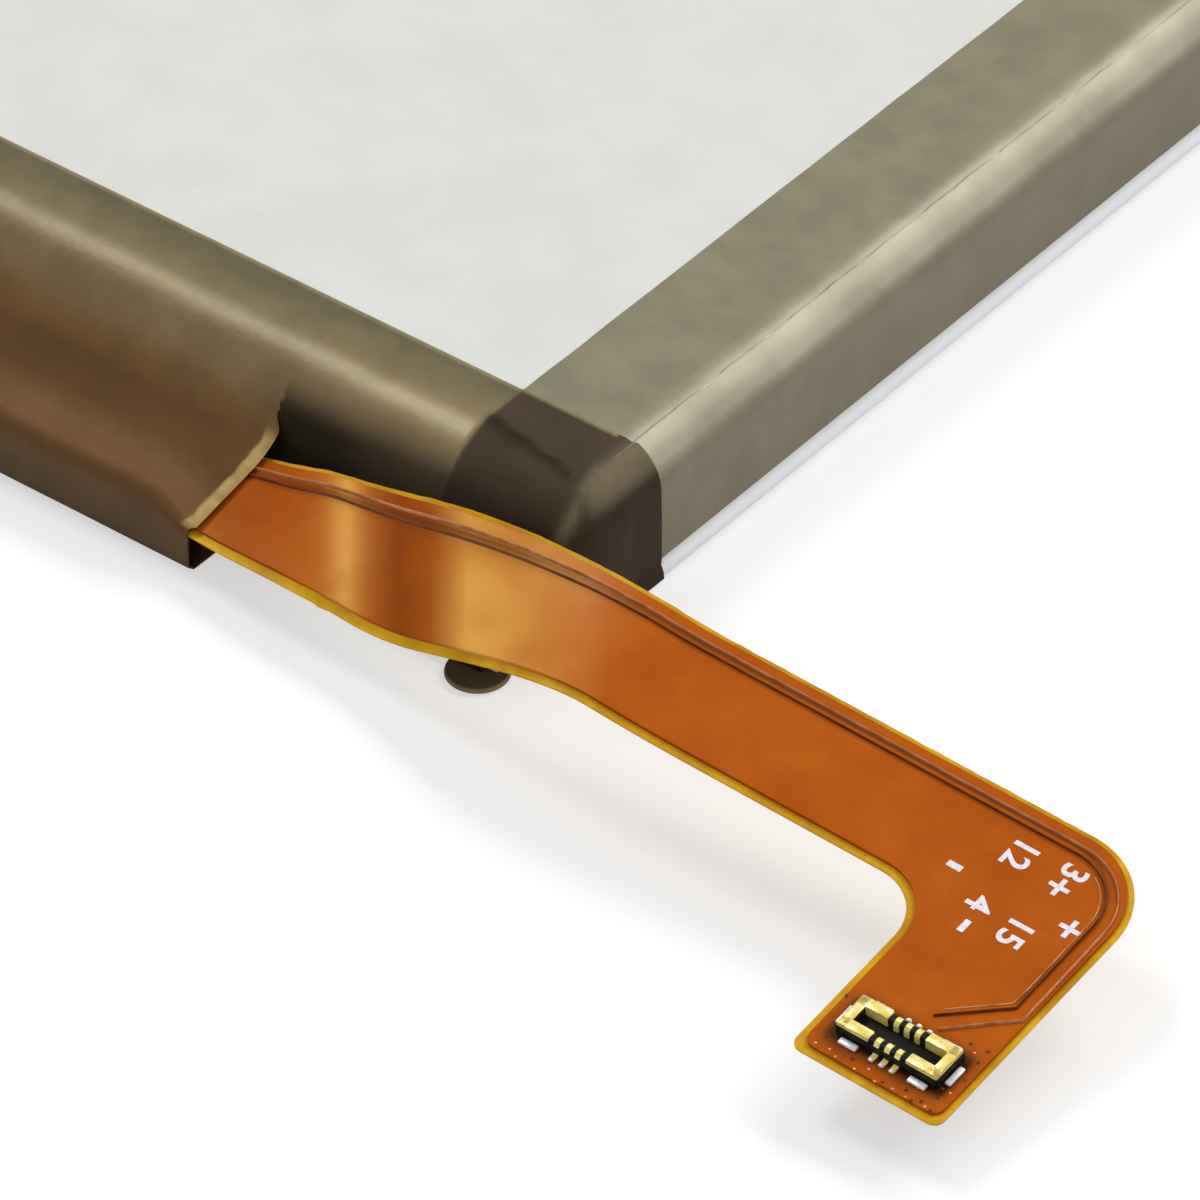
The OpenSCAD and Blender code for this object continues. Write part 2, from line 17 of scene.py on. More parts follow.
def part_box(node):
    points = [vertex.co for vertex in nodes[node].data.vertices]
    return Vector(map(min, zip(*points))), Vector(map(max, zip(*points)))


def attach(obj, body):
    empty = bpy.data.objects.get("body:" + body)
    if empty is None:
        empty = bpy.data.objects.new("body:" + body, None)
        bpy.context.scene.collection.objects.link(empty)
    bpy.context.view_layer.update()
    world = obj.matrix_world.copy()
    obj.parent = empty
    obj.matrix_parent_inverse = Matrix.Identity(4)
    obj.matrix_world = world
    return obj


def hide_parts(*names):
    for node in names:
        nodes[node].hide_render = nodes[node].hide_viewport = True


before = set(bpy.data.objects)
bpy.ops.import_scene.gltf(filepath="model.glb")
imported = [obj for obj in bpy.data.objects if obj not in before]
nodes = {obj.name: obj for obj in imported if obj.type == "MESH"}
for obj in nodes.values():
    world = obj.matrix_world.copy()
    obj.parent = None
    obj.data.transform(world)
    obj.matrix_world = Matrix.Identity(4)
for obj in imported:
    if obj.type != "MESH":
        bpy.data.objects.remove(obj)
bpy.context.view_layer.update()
MM = 0.001

# %% [markdown]
# ## The camera comes first
# The photograph was taken from far away with a long lens, so parallel edges stay nearly parallel.
# A 300 mm lens at 0.28 m gives that look. The camera is placed by what it looks at, which is easier
# to reason about than a raw position: a point over the lead's root, a bearing and a height.

# %% Camera
def linked(name, data):
    """A new object in the scene."""
    made = bpy.data.objects.new(name, data)
    bpy.context.scene.collection.objects.link(made)
    return made


AZIMUTH, ELEVATION = math.radians(38.11), math.radians(39.19)
looks_at = Vector((33.68, -46.19, 4.75)) * MM
distance = 280.05 * MM
backwards = Vector((
    math.sin(AZIMUTH) * math.cos(ELEVATION), -math.cos(AZIMUTH) * math.cos(ELEVATION), math.sin(ELEVATION)
))
camera_data = bpy.data.cameras.new("camera")
camera_data.lens, camera_data.sensor_width = 300, 36
camera_data.clip_start, camera_data.clip_end = 0.02, 20
camera = linked("camera", camera_data)
camera.location = looks_at + backwards * distance
camera.rotation_mode = "QUATERNION"
camera.rotation_quaternion = (-backwards).to_track_quat("-Z", "Y")
bpy.context.scene.camera = camera
print("camera at", [round(v / MM, 1) for v in camera.location], "mm")

# %% [markdown]
# ## Small helpers for node trees
# Every finish below is a short node tree. It could be clicked together by hand, but in a script a
# few helpers keep each tree down to the lines that matter: one that adds a node and links its
# inputs, one that reads a place on the piece, one that makes a noise, and one that puts the usual
# two tones and fine bump on a shader.

# %% Node helpers
def add_node(tree, kind, inputs=(), **settings):
    """Adds a node. inputs maps a socket's name or number to a value, or to a socket to link."""
    made = tree.nodes.new(kind)
    for key, value in settings.items():
        setattr(made, key, value)
    for key, value in dict(inputs).items():
        if isinstance(value, bpy.types.NodeSocket):
            tree.links.new(value, made.inputs[key])
        else:
            made.inputs[key].default_value = value
    return made


def math_node(tree, operation, *values):
    return add_node(tree, "ShaderNodeMath", dict(enumerate(values)), operation=operation).outputs[0]


def clamped(tree, value, low, high, out_low=0.0, out_high=1.0):
    """Maps low to high onto out_low to out_high, and holds it there outside."""
    inputs = {"Value": value, "From Min": low, "From Max": high, "To Min": out_low, "To Max": out_high}
    return add_node(tree, "ShaderNodeMapRange", inputs, interpolation_type="SMOOTHSTEP").outputs["Result"]


def mixed(tree, share, first, second):
    """Two colours mixed by a share from 0 to 1."""
    made = add_node(tree, "ShaderNodeMix", data_type="RGBA")
    for socket, value in ((0, share), (6, first), (7, second)):
        if isinstance(value, bpy.types.NodeSocket):
            tree.links.new(value, made.inputs[socket])
        else:
            made.inputs[socket].default_value = value
    return made.outputs[2]


def place(tree):
    """Object coordinates in millimetres."""
    where = add_node(tree, "ShaderNodeTexCoord").outputs["Object"]
    return add_node(tree, "ShaderNodeMapping", {"Vector": where, "Scale": [1 / MM] * 3}).outputs[0]


def speckle(tree, per_mm, detail=3.0, rough=0.55):
    """A noise with that many features to the millimetre."""
    inputs = {"Vector": place(tree), "Scale": per_mm, "Detail": detail, "Roughness": rough}
    return add_node(tree, "ShaderNodeTexNoise", inputs).outputs["Fac"]


def field(tree, name):
    """A number that the piece's mesh carries at each point."""
    return add_node(tree, "ShaderNodeAttribute", attribute_name=name).outputs["Fac"]


def linear(red, green, blue):
    """A colour written as 0 to 255, as a screen shows it, turned into the shader's linear values."""
    parts = [v / 255 for v in (red, green, blue)]
    return tuple(v / 12.92 if v <= 0.04045 else ((v + 0.055) / 1.055) ** 2.4 for v in parts) + (1.0,)


def new_finish(name, **sockets):
    """A material with one Principled shader, its plain sockets set."""
    made = bpy.data.materials.new(name)
    made.use_nodes = True
    shader = made.node_tree.nodes["Principled BSDF"]
    for key, value in sockets.items():
        shader.inputs[key.replace("_", " ")].default_value = value
    return made, made.node_tree, shader


def bumped(tree, shader, height, distance_mm):
    """Lets a height field tilt the surface, by up to that many millimetres."""
    inputs = {"Height": height, "Distance": distance_mm * MM, "Strength": 1.0}
    tree.links.new(add_node(tree, "ShaderNodeBump", inputs).outputs[0], shader.inputs["Normal"])


def two_tones(name, dark, light, per_mm, bumps_per_mm, bump_mm, **sockets):
    """A finish that drifts between two colours and has a fine bump."""
    made, tree, shader = new_finish(name, **sockets)
    tone = mixed(tree, clamped(tree, speckle(tree, per_mm), 0.3, 0.7), dark, light)
    tree.links.new(tone, shader.inputs["Base Color"])
    bumped(tree, shader, speckle(tree, bumps_per_mm), bump_mm)
    return made


# %% [markdown]
# ## Floor, world and lamps
# The photograph is a plain product shot on white. The camera sees a white world and a floor that
# is nearly white but still takes the pack's shadow. Three soft lamps do the lighting: a large one
# behind the pack, whose reflection draws the bright line along the taped shoulder, a smaller one
# overhead that does the same for the rounded nose, and a weak fill from the front.

# %% World
world = bpy.data.worlds.new("studio")
world.use_nodes = True
bpy.context.scene.world = world
sky = world.node_tree
seen = add_node(sky, "ShaderNodeLightPath")
AMBIENT, ROOM = 0.34, 0.2
unlit = add_node(sky, "ShaderNodeMapRange", {
    "Value": seen.outputs["Is Glossy Ray"], "To Min": AMBIENT, "To Max": ROOM,
})
level = add_node(sky, "ShaderNodeMix", {0: seen.outputs["Is Camera Ray"], 2: unlit.outputs["Result"], 3: 1.0})
backdrop = sky.nodes["Background"]
backdrop.inputs["Color"].default_value = (1, 1, 1, 1)
sky.links.new(level.outputs[0], backdrop.inputs["Strength"])

# %% Floor
FLOOR_DROP = 0.02
FLOOR_HALF = 1.5
floor_mesh = bpy.data.meshes.new("floor")
corners = [(-1, -1), (1, -1), (1, 1), (-1, 1)]
floor_points = [(x * FLOOR_HALF, y * FLOOR_HALF, -FLOOR_DROP * MM) for x, y in corners]
floor_mesh.from_pydata(floor_points, [], [(0, 1, 2, 3)])
floor = linked("floor", floor_mesh)
floor_finish, tree, shader = new_finish("pale_floor", Roughness=0.9)
shader.inputs["Base Color"].default_value = (0.95, 0.95, 0.95, 1)
path = add_node(tree, "ShaderNodeLightPath")
glow = add_node(tree, "ShaderNodeEmission", {"Color": (1, 1, 1, 1), "Strength": 1.0})
SHADOW_SHARE = 0.45
keep = math_node(tree, "MULTIPLY", path.outputs["Is Camera Ray"], 1 - SHADOW_SHARE)
blend = add_node(tree, "ShaderNodeMixShader", {0: keep, 1: shader.outputs[0], 2: glow.outputs[0]})
tree.links.new(blend.outputs[0], tree.nodes["Material Output"].inputs["Surface"])
floor_mesh.materials.append(floor_finish)

# %% Lamps
def softbox(name, towards, away_mm, width_mm, height_mm, watts):
    """An area lamp in that direction from the point that the camera looks at."""
    data = bpy.data.lights.new(name, "AREA")
    data.shape, data.size, data.size_y, data.energy = "RECTANGLE", width_mm * MM, height_mm * MM, watts
    lamp = linked(name, data)
    direction = Vector(towards).normalized()
    lamp.location = looks_at + direction * away_mm * MM
    lamp.rotation_mode = "QUATERNION"
    lamp.rotation_quaternion = direction.to_track_quat("Z", "Y")


softbox("behind", (0.22, 0.61, 0.68), 500, 540, 140, 1.8)
softbox("overhead_left", (-0.50, 0.09, 0.86), 500, 160, 130, 0.85)
softbox("fill", (0.10, -0.75, 0.66), 700, 500, 300, 0.7)
bpy.context.scene.view_settings.view_transform = "Standard"

# %% [markdown]
# ## Mesh helpers
# Films are the main thing here: tape, base film, copper. A film can be modelled as a flat surface
# with a thickness modifier, or as a closed slab whose upper and lower sides are both given. The
# slab is exact at the edges and always closed, so most films below are slabs between two grids of
# points. Work goes on in millimetres, and the points are scaled once, when the mesh is made.

# %% Slabs
def link_mesh(name, vertices_mm, faces):
    """A new object at the origin, its place in its mesh."""
    mesh = bpy.data.meshes.new(name)
    mesh.from_pydata([tuple(c * MM for c in v) for v in vertices_mm], [], faces)
    mesh.validate()
    return linked(name, mesh)


def from_work(name, work):
    """Ends an edit mesh as a new object."""
    mesh = bpy.data.meshes.new(name)
    work.to_mesh(mesh)
    work.free()
    return linked(name, mesh)


def plain_mesh(obj):
    """A mesh of what an object's modifiers, or its text, make."""
    return bpy.data.meshes.new_from_object(obj.evaluated_get(bpy.context.evaluated_depsgraph_get()))


def bake(obj):
    """Puts what the modifiers make in the place of the object's own mesh."""
    mesh = plain_mesh(obj)
    obj.modifiers.clear()
    obj.data = mesh
    tidy_normals(obj)


def set_field(obj, name, values):
    """Gives each point of a mesh a number that a finish can read."""
    made = obj.data.attributes.new(name, "FLOAT", "POINT")
    made.data.foreach_set("value", np.asarray(values, np.float32))


def tidy_normals(obj, merge_mm=0.0):
    """Welds doubles if asked, points every face outwards and shades the mesh smooth."""
    work = bmesh.new()
    work.from_mesh(obj.data)
    if merge_mm:
        bmesh.ops.remove_doubles(work, verts=work.verts, dist=merge_mm * MM)
        bmesh.ops.dissolve_degenerate(work, edges=work.edges, dist=merge_mm * MM * 0.1)
    bmesh.ops.recalc_face_normals(work, faces=work.faces)
    for face in work.faces:
        face.smooth = True
    work.to_mesh(obj.data)
    work.free()


def slab(name, upper, lower):
    """A closed film between two grids of points, both shaped (along, across, 3)."""
    along, across = upper.shape[:2]
    count = along * across
    points = np.concatenate([upper.reshape(-1, 3), lower.reshape(-1, 3)])
    faces = []
    for i in range(along - 1):
        for j in range(across - 1):
            a, b, c, d = i * across + j, i * across + j + 1, (i + 1) * across + j + 1, (i + 1) * across + j
            faces += [(a, b, c, d), (d + count, c + count, b + count, a + count)]
    rim = [i * across for i in range(along)] + [(along - 1) * across + j for j in range(1, across)]
    rim += [i * across + across - 1 for i in range(along - 2, -1, -1)] + list(range(across - 2, 0, -1))
    for k, a in enumerate(rim):
        b = rim[(k + 1) % len(rim)]
        faces.append((a, b, b + count, a + count))
    made = link_mesh(name, points.tolist(), faces)
    tidy_normals(made)
    return made


def sharpen(obj, angle_deg=40):
    """Keeps the slab's edges crisp: edges sharper than the angle aren't smoothed across."""
    work = bmesh.new()
    work.from_mesh(obj.data)
    limit = math.radians(angle_deg)
    for edge in work.edges:
        edge.smooth = len(edge.link_faces) == 2 and edge.calc_face_angle(0.0) < limit
    work.to_mesh(obj.data)
    work.free()


def dress(obj, finish, slot, *replaced):
    """The last step for each new piece: finish, body and the solids that it stands for. slot is not used."""
    obj.data.materials.clear()
    obj.data.materials.append(finish)
    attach(obj, "root")
    if replaced:
        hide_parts(*replaced)
    print(obj.name, "points:", len(obj.data.vertices), "faces:", len(obj.data.polygons))


def ease(t):
    """A smooth step from 0 to 1."""
    c = np.clip(t, 0, 1)
    return c * c * (3 - 2 * c)


def ripple(x, y, size_mm, seed=0.0):
    """Smooth noise from -1 to 1 over a plane, with features about that many millimetres across."""
    return noise.noise(Vector((x / size_mm, y / size_mm, seed)))


# %% [markdown]
# ## The cell's sizes
# The same few sizes that shaped the solids are named again here, in millimetres, so that the films
# lie where the solids are.

# %% Sizes
CELL_W, CELL_L, CELL_H = 62.0, 88.0, 4.75
NOSE_R, SIDE_R, BOTTOM_R = 2.5, 1.2, 0.3
FOLD_T, FOLD_IN = 0.15, 0.9
TERRACE_L, TERRACE_LOW, TERRACE_HIGH = 2.2, 0.1, 0.35
TAPE_T = 0.07
SIDE_X, FRONT_Y, REAR_Y = CELL_W / 2, -CELL_L / 2, CELL_L / 2
SHOULDER_X, SHOULDER_Z = SIDE_X - FOLD_T - SIDE_R, CELL_H - SIDE_R
FOLD_R = SIDE_R + FOLD_T
TERRACE_Y = FRONT_Y - TERRACE_L
SLIT_X = SIDE_X - 11
board_low, board_high = (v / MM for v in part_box("protection_board"))
BOARD_TOP = board_high.z

# %% [markdown]
# ## The pouch
# The cell is a bag of soft aluminium laminate with a satin grey nylon skin, drawn flat and tight
# over the stack inside. Its solid already has the right form, so it stays and only gets a finish:
# pale grey, faintly mottled, with a very fine orange-peel bump that softens the reflections.

# %% Pouch finish
pouch_finish, tree, shader = new_finish("pouch_laminate", Roughness=0.5)
shader.inputs["Specular IOR Level"].default_value = 0.35
cloud = speckle(tree, 0.35, 4.0)
grain = speckle(tree, 9.0, 2.0)
base = mixed(tree, clamped(tree, cloud, 0.35, 0.65), linear(205, 206, 200), linear(210, 211, 207))
height_z = add_node(tree, "ShaderNodeSeparateXYZ", {0: place(tree)}).outputs["Z"]
seal = clamped(tree, height_z, 0.6, 1.1, 1.0, 0.0)
base = mixed(tree, seal, base, linear(238, 240, 244))
tree.links.new(base, shader.inputs["Base Color"])
bumped(tree, shader, math_node(tree, "ADD", math_node(tree, "MULTIPLY", cloud, 3.0), grain), 0.004)
pouch_node = nodes["pouch_cell"]
pouch_node.data.materials.clear()
pouch_node.data.materials.append(pouch_finish)

# %% [markdown]
# ## Tape finishes
# The tapes are thin grey-brown film with glue behind it. Over the pale pouch they look taupe, where
# two layers lie they look darker, and over the board the amber film underneath turns them brown.
# Real transparency would need the glue and the air gaps too, so the mesh carries numbers instead.
# One says how far along the tape a point lies, and picks the ground colour from a list, which also
# holds painted shade. The others say how strongly a second layer, a raw edge, painted shade and
# painted highlights show there, and the finish mixes their colours over it. The gloss comes from the
# shader and the lamps, with painted highlights on the shoulders, the corner's edge, the nose and the
# cut edges added to it.

# %% Tape finish
def ramp(tree, value, stops):
    """A colour read off a list of (place, colour) pairs."""
    made = add_node(tree, "ShaderNodeValToRGB", {0: value})
    made.color_ramp.interpolation = "LINEAR"
    while len(made.color_ramp.elements) < len(stops):
        made.color_ramp.elements.new(0.5)
    for element, (at, colour) in zip(made.color_ramp.elements, stops):
        element.position, element.color = at, colour
    return made.outputs["Color"]


def cloudy(tree, colour):
    """Lets a colour vary by a tenth in soft clouds."""
    share = clamped(tree, speckle(tree, 0.6, 5.0, rough=0.6), 0.3, 0.7, 0.9, 1.1)
    inputs = {0: colour, 1: grey(tree, share)}
    return add_node(tree, "ShaderNodeVectorMath", inputs, operation="MULTIPLY").outputs[0]


def grey(tree, value):
    return add_node(tree, "ShaderNodeCombineXYZ", {0: value, 1: value, 2: value}).outputs[0]


def tape_finish(name, colours, roughness, dull=None):
    """colours holds (field, colour) pairs, each mixed over those before it; the first is the ground."""
    made, tree, shader = new_finish(name, Roughness=roughness)
    shader.inputs["IOR"].default_value = 1.5
    shader.inputs["Specular Tint"].default_value = linear(255, 242, 206)
    colour = colours[0](tree) if callable(colours[0]) else colours[0]
    for key, over in colours[1:]:
        colour = mixed(tree, field(tree, key), colour, over)
    tree.links.new(cloudy(tree, colour), shader.inputs["Base Color"])
    if dull:
        share = dull(tree)
        tree.links.new(clamped(tree, share, 0, 1, roughness, 0.62), shader.inputs["Roughness"])
        tree.links.new(clamped(tree, share, 0, 1, 0.5, 0.12), shader.inputs["Specular IOR Level"])
    fine = speckle(tree, 5.0, 3.0)
    broad = speckle(tree, 0.8, 2.0)
    bumped(tree, shader, math_node(tree, "ADD", math_node(tree, "MULTIPLY", broad, 3.0), fine), 0.005)
    return made


def dull_share(tree):
    """Where two layers lie, or the film hangs over the board, it hardly shines."""
    hangs = clamped(tree, field(tree, "along"), 3.4, 4.6)
    return math_node(tree, "MAXIMUM", field(tree, "double"), hangs)


edge_tape_finish = tape_finish("edge_tape_film", [
    linear(128, 123, 102),
    # The side colour is painted shade on the tape's vertical side, the pale colour is a painted highlight over the
    # shoulder, and the dark line is the raw edge of the seal.
    ("wall", linear(106, 98, 80)), ("pale", linear(184, 178, 158)), ("seam", linear(76, 68, 54)),
], 0.36)
# Millimetres from the tape's rear edge, and the colour there: nose, hollow, shelf, head and face. The tones mix
# the amber board showing through with painted shade: darker down the slope and hollow and at the head's edge, and
# lighter on the shelf that faces up.
PATH_END = 14.4
ALONG = [
    (0.0, (92, 85, 64)), (1.6, (114, 103, 74)), (2.4, (118, 101, 71)), (3.4, (115, 95, 66)),
    (4.5, (107, 80, 50)), (5.3, (94, 66, 38)), (6.4, (90, 61, 34)), (7.3, (104, 76, 48)),
    (8.1, (108, 76, 48)), (8.7, (90, 63, 37)), (9.3, (92, 71, 50)), (10.8, (86, 69, 50)),
]
front_tape_finish = tape_finish("front_tape_film", [
    lambda tree: ramp(
        tree, math_node(tree, "DIVIDE", field(tree, "along"), PATH_END),
        [(s / PATH_END, linear(*c)) for s, c in ALONG],
    ),
    # Painted shade: the low colour darkens the lower walls and the ear, and the second-layer colour takes some of
    # it too.
    ("double", linear(66, 55, 43)), ("low", linear(50, 41, 32)), ("lip", linear(180, 152, 98)),
    # Painted highlights: the glow colour along the corner's edge and ridge, and the rim colour on the cut edges,
    # the ear's rim and the nose. The darkest colour paints the fold line and the shade in the slit.
    ("glow", linear(116, 106, 84)), ("seam", linear(34, 27, 18)), ("rim", linear(150, 140, 104)),
], 0.34, dull_share)

# %% [markdown]
# ## The edge tapes
# Along each side the pouch's seal is folded up and held down by a tape. The raw edge of the seal
# shows through it as a thin wandering line on the shoulder. The tape is swept from one section:
# flat on the top, up over the raw edge, round the folded seal and down the side. Sweeping it one
# step at a time, rather than with a curve, lets each step along the side shift the seam a little.

# %% Edge tape section
SIDE_TAPE_TOP, SIDE_TAPE_LOW = 4.9, 1.0
SEAM_X, PAST_SEAM = SIDE_X - FOLD_IN, 0.2
TOP_N, STEP_N, BEND_N, WALL_N = 14, 26, 22, 10


def edge_section(shift):
    """Outer points (out, up, groove) from the inner edge to the lower one; shift moves the raw edge."""
    seam_x = SEAM_X + shift
    points = [(x, CELL_H + TAPE_T, 0.0) for x in np.linspace(SIDE_X - SIDE_TAPE_TOP, SHOULDER_X, TOP_N)]
    inner_r, outer_r = SIDE_R + TAPE_T, FOLD_R + TAPE_T
    for x in np.linspace(SHOULDER_X, seam_x + PAST_SEAM, STEP_N)[1:]:
        inner = SHOULDER_Z + math.sqrt(inner_r ** 2 - (x - SHOULDER_X) ** 2)
        outer = SHOULDER_Z + math.sqrt(outer_r ** 2 - (x - SHOULDER_X) ** 2)
        step = float(ease((x - seam_x + 0.05) / 0.1))
        groove = math.exp(-((x - seam_x + 0.02) / 0.06) ** 2)
        points.append((x, inner + (outer - inner) * step, groove))
    lean = math.degrees(math.asin((seam_x + PAST_SEAM - SHOULDER_X) / outer_r))
    for a in np.linspace(lean, 90, BEND_N)[1:]:
        a = math.radians(a)
        points.append((SHOULDER_X + outer_r * math.sin(a), SHOULDER_Z + outer_r * math.cos(a), 0.0))
    points += [(SIDE_X + TAPE_T, z, 0.0) for z in np.linspace(SHOULDER_Z, SIDE_TAPE_LOW, WALL_N)[1:]]
    return np.array(points)


def inset(points, by):
    """The same open line moved to its right by a distance, point by point."""
    step = np.gradient(points, axis=0)
    step /= np.linalg.norm(step, axis=1, keepdims=True)
    return points + by * np.stack([step[:, 1], -step[:, 0]], axis=1)


# %% Sweep both edge tapes
ALONG_STEP = 0.25


def set_fields(film, fields):
    """Gives a slab the same numbers on its upper and lower sides."""
    for name, values in fields.items():
        set_field(film, name, np.concatenate([values.ravel(), values.ravel()]))


def edge_tape(name, side, seed):
    """One edge tape; side is 1 on the right and -1 on the left."""
    ys = np.arange(FRONT_Y + NOSE_R, REAR_Y - NOSE_R + 0.01, ALONG_STEP)
    upper, lower, seam, wall, pale = [], [], [], [], []
    for y in ys:
        wander = 0.05 * ripple(y, 0, 1.3, seed) + 0.03 * ripple(y, 5, 0.35, seed)
        section = edge_section(wander)
        line = section[:, :2].copy()
        swell = 0.012 * ripple(y, 9, 6.0, seed)
        line[TOP_N:TOP_N + 36, 1] += swell
        line[0, 0] += 0.03 * ripple(y, 3, 2.0, seed)
        under = inset(line, TAPE_T)
        upper.append([(side * x, y, z) for x, z in line])
        lower.append([(side * x, y, z) for x, z in under])
        fade = 0.3 + 0.6 * ease(0.5 + 1.6 * ripple(y, 12, 2.2, seed))
        seam.append(section[:, 2] * fade)
        # Painted shade: the tape's vertical side is darkened.
        wall.append(ease((section[:, 0] - SIDE_X + 0.2) / 0.16))
        # Painted highlight: a pale band over the rounded shoulder.
        band = ease((section[:, 0] - SHOULDER_X + 0.25) / 0.85) * ease((SIDE_X + 0.07 - section[:, 0]) / 0.24)
        pale.append(band * (0.62 + 0.3 * ripple(y, 15, 3.0, seed)))
    upper, lower, seam, wall, pale = (np.array(part) for part in (upper, lower, seam, wall, pale))
    made = slab(name, upper, lower)
    sharpen(made, 50)
    set_fields(made, {"seam": seam, "wall": wall, "pale": pale})
    return made


right_tape = edge_tape("right_edge_tape_film", 1, 1.7)
left_tape = edge_tape("left_edge_tape_film", -1, 8.3)
dress(right_tape, edge_tape_finish, "edge_tape", "right_edge_tape")
dress(left_tape, edge_tape_finish, "edge_tape", "left_edge_tape")

# %% [markdown]
# ## The lead's surface
# The flex lead rises off the board, crosses the pack's corner and falls gently to its tail. Its
# height is one formula in x and y, so everything on it, from the copper to the printed marks, can
# ask that formula where the surface is. Two low waves near the root, left from bending it by
# hand, are added to the plain form.

# %% Height of the lead
LEAD_REAR_Y = FRONT_Y - 0.5
ARM_W, WAIST, ON_BOARD = 4.4, 1.15, 5.0
TAIL_X = SIDE_X + 21.4
TAIL_W, TAIL_L = 5.1, 6.4
BEND_OUT_R, BEND_IN_R, TAIL_R = 2.7, 1.7, 0.35
FILM_T, BOND_T, COPPER_T, BORDER = 0.05, 0.04, 0.06, 0.25
FILM_TOP = FILM_T + BOND_T + COPPER_T
CREST_Z = CELL_H - 0.4
SETTLE, FALL_OUT, FALL_FWD = 0.3, 0.05, 0.14
LIFT_IN, FULL_OUT = 17.0, 6.0
BOARD_L = board_high.x - board_low.x
lead_start = BOARD_L / 2 - ON_BOARD
lead_front_y = LEAD_REAR_Y - ARM_W
bend_x, bend_y = TAIL_X - TAIL_W - BEND_IN_R, lead_front_y - BEND_IN_R
tail_y = lead_front_y - TAIL_L
front_end_z = CREST_Z - SETTLE - FALL_FWD * ARM_W


def rear_height(x):
    rise = (CREST_Z - BOARD_TOP) * ease((x - SIDE_X + LIFT_IN) / LIFT_IN)
    return BOARD_TOP + rise - SETTLE * ease((x - SIDE_X - 1) / 5) - FALL_OUT * np.maximum(0, x - SIDE_X - 4)


def front_height(x):
    share = 0.12 * ease((x - SLIT_X) / 4) + 0.88 * ease((x - SIDE_X + 5.05) / 9.3)
    return BOARD_TOP + (front_end_z - BOARD_TOP) * share - FALL_OUT * np.maximum(0, x - SIDE_X - 4)


def front_line(x):
    """Y of the lead's front edge along the arm."""
    near = [np.interp(x + d, [BOARD_L / 2, SLIT_X + 3, SIDE_X + FULL_OUT], [WAIST, 0.6 * WAIST, 0])
            for d in np.linspace(-1.6, 1.6, 9)]
    return LEAD_REAR_Y - ARM_W + np.mean(near, axis=0)


def along_view(x, y):
    """A coordinate that stays the same along the diagonal on which the lead's waves run."""
    return x + 0.784 * (y - FRONT_Y + 2.2)


def lead_height(x, y):
    """Height of the lead's underside at a point."""
    across = np.clip((LEAD_REAR_Y - y) / (LEAD_REAR_Y - front_line(x)), 0, 1)
    plain = rear_height(x) - (rear_height(x) - front_height(x)) * (LEAD_REAR_Y - y) / (LEAD_REAR_Y - front_line(x))
    wave = along_view(x, y)
    hump = 0.07 * np.exp(-((wave - 23.8) / 0.9) ** 2) - 0.05 * np.exp(-((wave - 26.4) / 1.2) ** 2)
    crease = -0.07 * np.exp(-((x - 26.4 + 1.2 * across) / 0.22) ** 2) * ease((across - 0.6) / 0.4)
    return plain + (hump + crease) * ease((x - SLIT_X) / 1.2) * ease((SIDE_X + 2 - x) / 3)


print("lead crest", round(float(rear_height(SIDE_X)), 3), "tail end", round(float(lead_height(50.0, tail_y)), 3))

# %% [markdown]
# ## The front tape
# One wide tape closes the pack's end. Left of the slit it leaves the rounded nose, slopes down to
# a shelf over the board and turns round the head. Right of the slit it stays on the cup and runs
# down to the terrace, and at both corners it laps round onto the sides. Next to the slit the film
# has sunk onto the lead, and its cut edge is rolled over. It is built column by column: each
# column is the tape's path from its rear edge to its end, and neighbouring columns are joined,
# except across the slit. The corners are found by rays cast at the solids underneath, which keeps
# the film at one distance from them. A Solidify modifier gives it its thickness.

# %% Parts of a column
FRONT_TAPE_TOP = 3.9
HEAD_L, SHELF_Z, SLOPE_A, HOLLOW_R, HEAD_R, HEEL_R = 4.0, 2.4, 35.0, 3.0, 0.45, 0.15
SLIT_A = 27
FLAT_N, RISE_N, OPEN_N, HEAD_N, FACE_N, HEEL_N = 8, 15, 30, 10, 9, 10
nose_y, nose_z, nose_out = FRONT_Y + NOSE_R, CELL_H - NOSE_R, NOSE_R + TAPE_T
top_z = CELL_H + TAPE_T
tape_rear_y = FRONT_Y + FRONT_TAPE_TOP
head_y = FRONT_Y - HEAD_L
SHARED = FLAT_N + RISE_N - 1


def arc(centre, radius, start_deg, end_deg, count=24):
    return [
        (centre[0] + radius * math.cos(math.radians(a)), centre[1] + radius * math.sin(math.radians(a)))
        for a in np.linspace(start_deg, end_deg, count)
    ]


def spaced(points, count):
    """The same line with evenly spaced points."""
    points = np.array(points)
    steps = np.linalg.norm(np.diff(points, axis=0), axis=1)
    reach = np.concatenate([[0], np.cumsum(steps)])
    wanted = np.linspace(0, reach[-1], count)
    return np.stack([np.interp(wanted, reach, points[:, k]) for k in range(points.shape[1])], axis=1)


def curve(p0, p1, p2, p3, count):
    """A cubic curve between two points, pulled by two handles."""
    t = np.linspace(0, 1, count)[:, None]
    p0, p1, p2, p3 = (np.array(p) for p in (p0, p1, p2, p3))
    return (1 - t) ** 3 * p0 + 3 * (1 - t) ** 2 * t * p1 + 3 * (1 - t) * t * t * p2 + t ** 3 * p3


def end_rows(head_top, head_r):
    """The head's rounding, the face and the turn below, from where the film starts to bend down."""
    round_rows = arc((head_y + head_r, head_top - head_r), head_r, 90, 180, HEAD_N + 1)[1:]
    face_rows = [(head_y, z) for z in np.linspace(head_top - head_r, TAPE_T + HEEL_R, FACE_N + 1)[1:]]
    heel = arc((head_y + TAPE_T + HEEL_R, TAPE_T + HEEL_R), HEEL_R + TAPE_T, 180, 270, 6)
    return round_rows + face_rows + spaced(heel + [(FRONT_Y - BOTTOM_R, 0.0)], HEEL_N + 1)[1:].tolist()


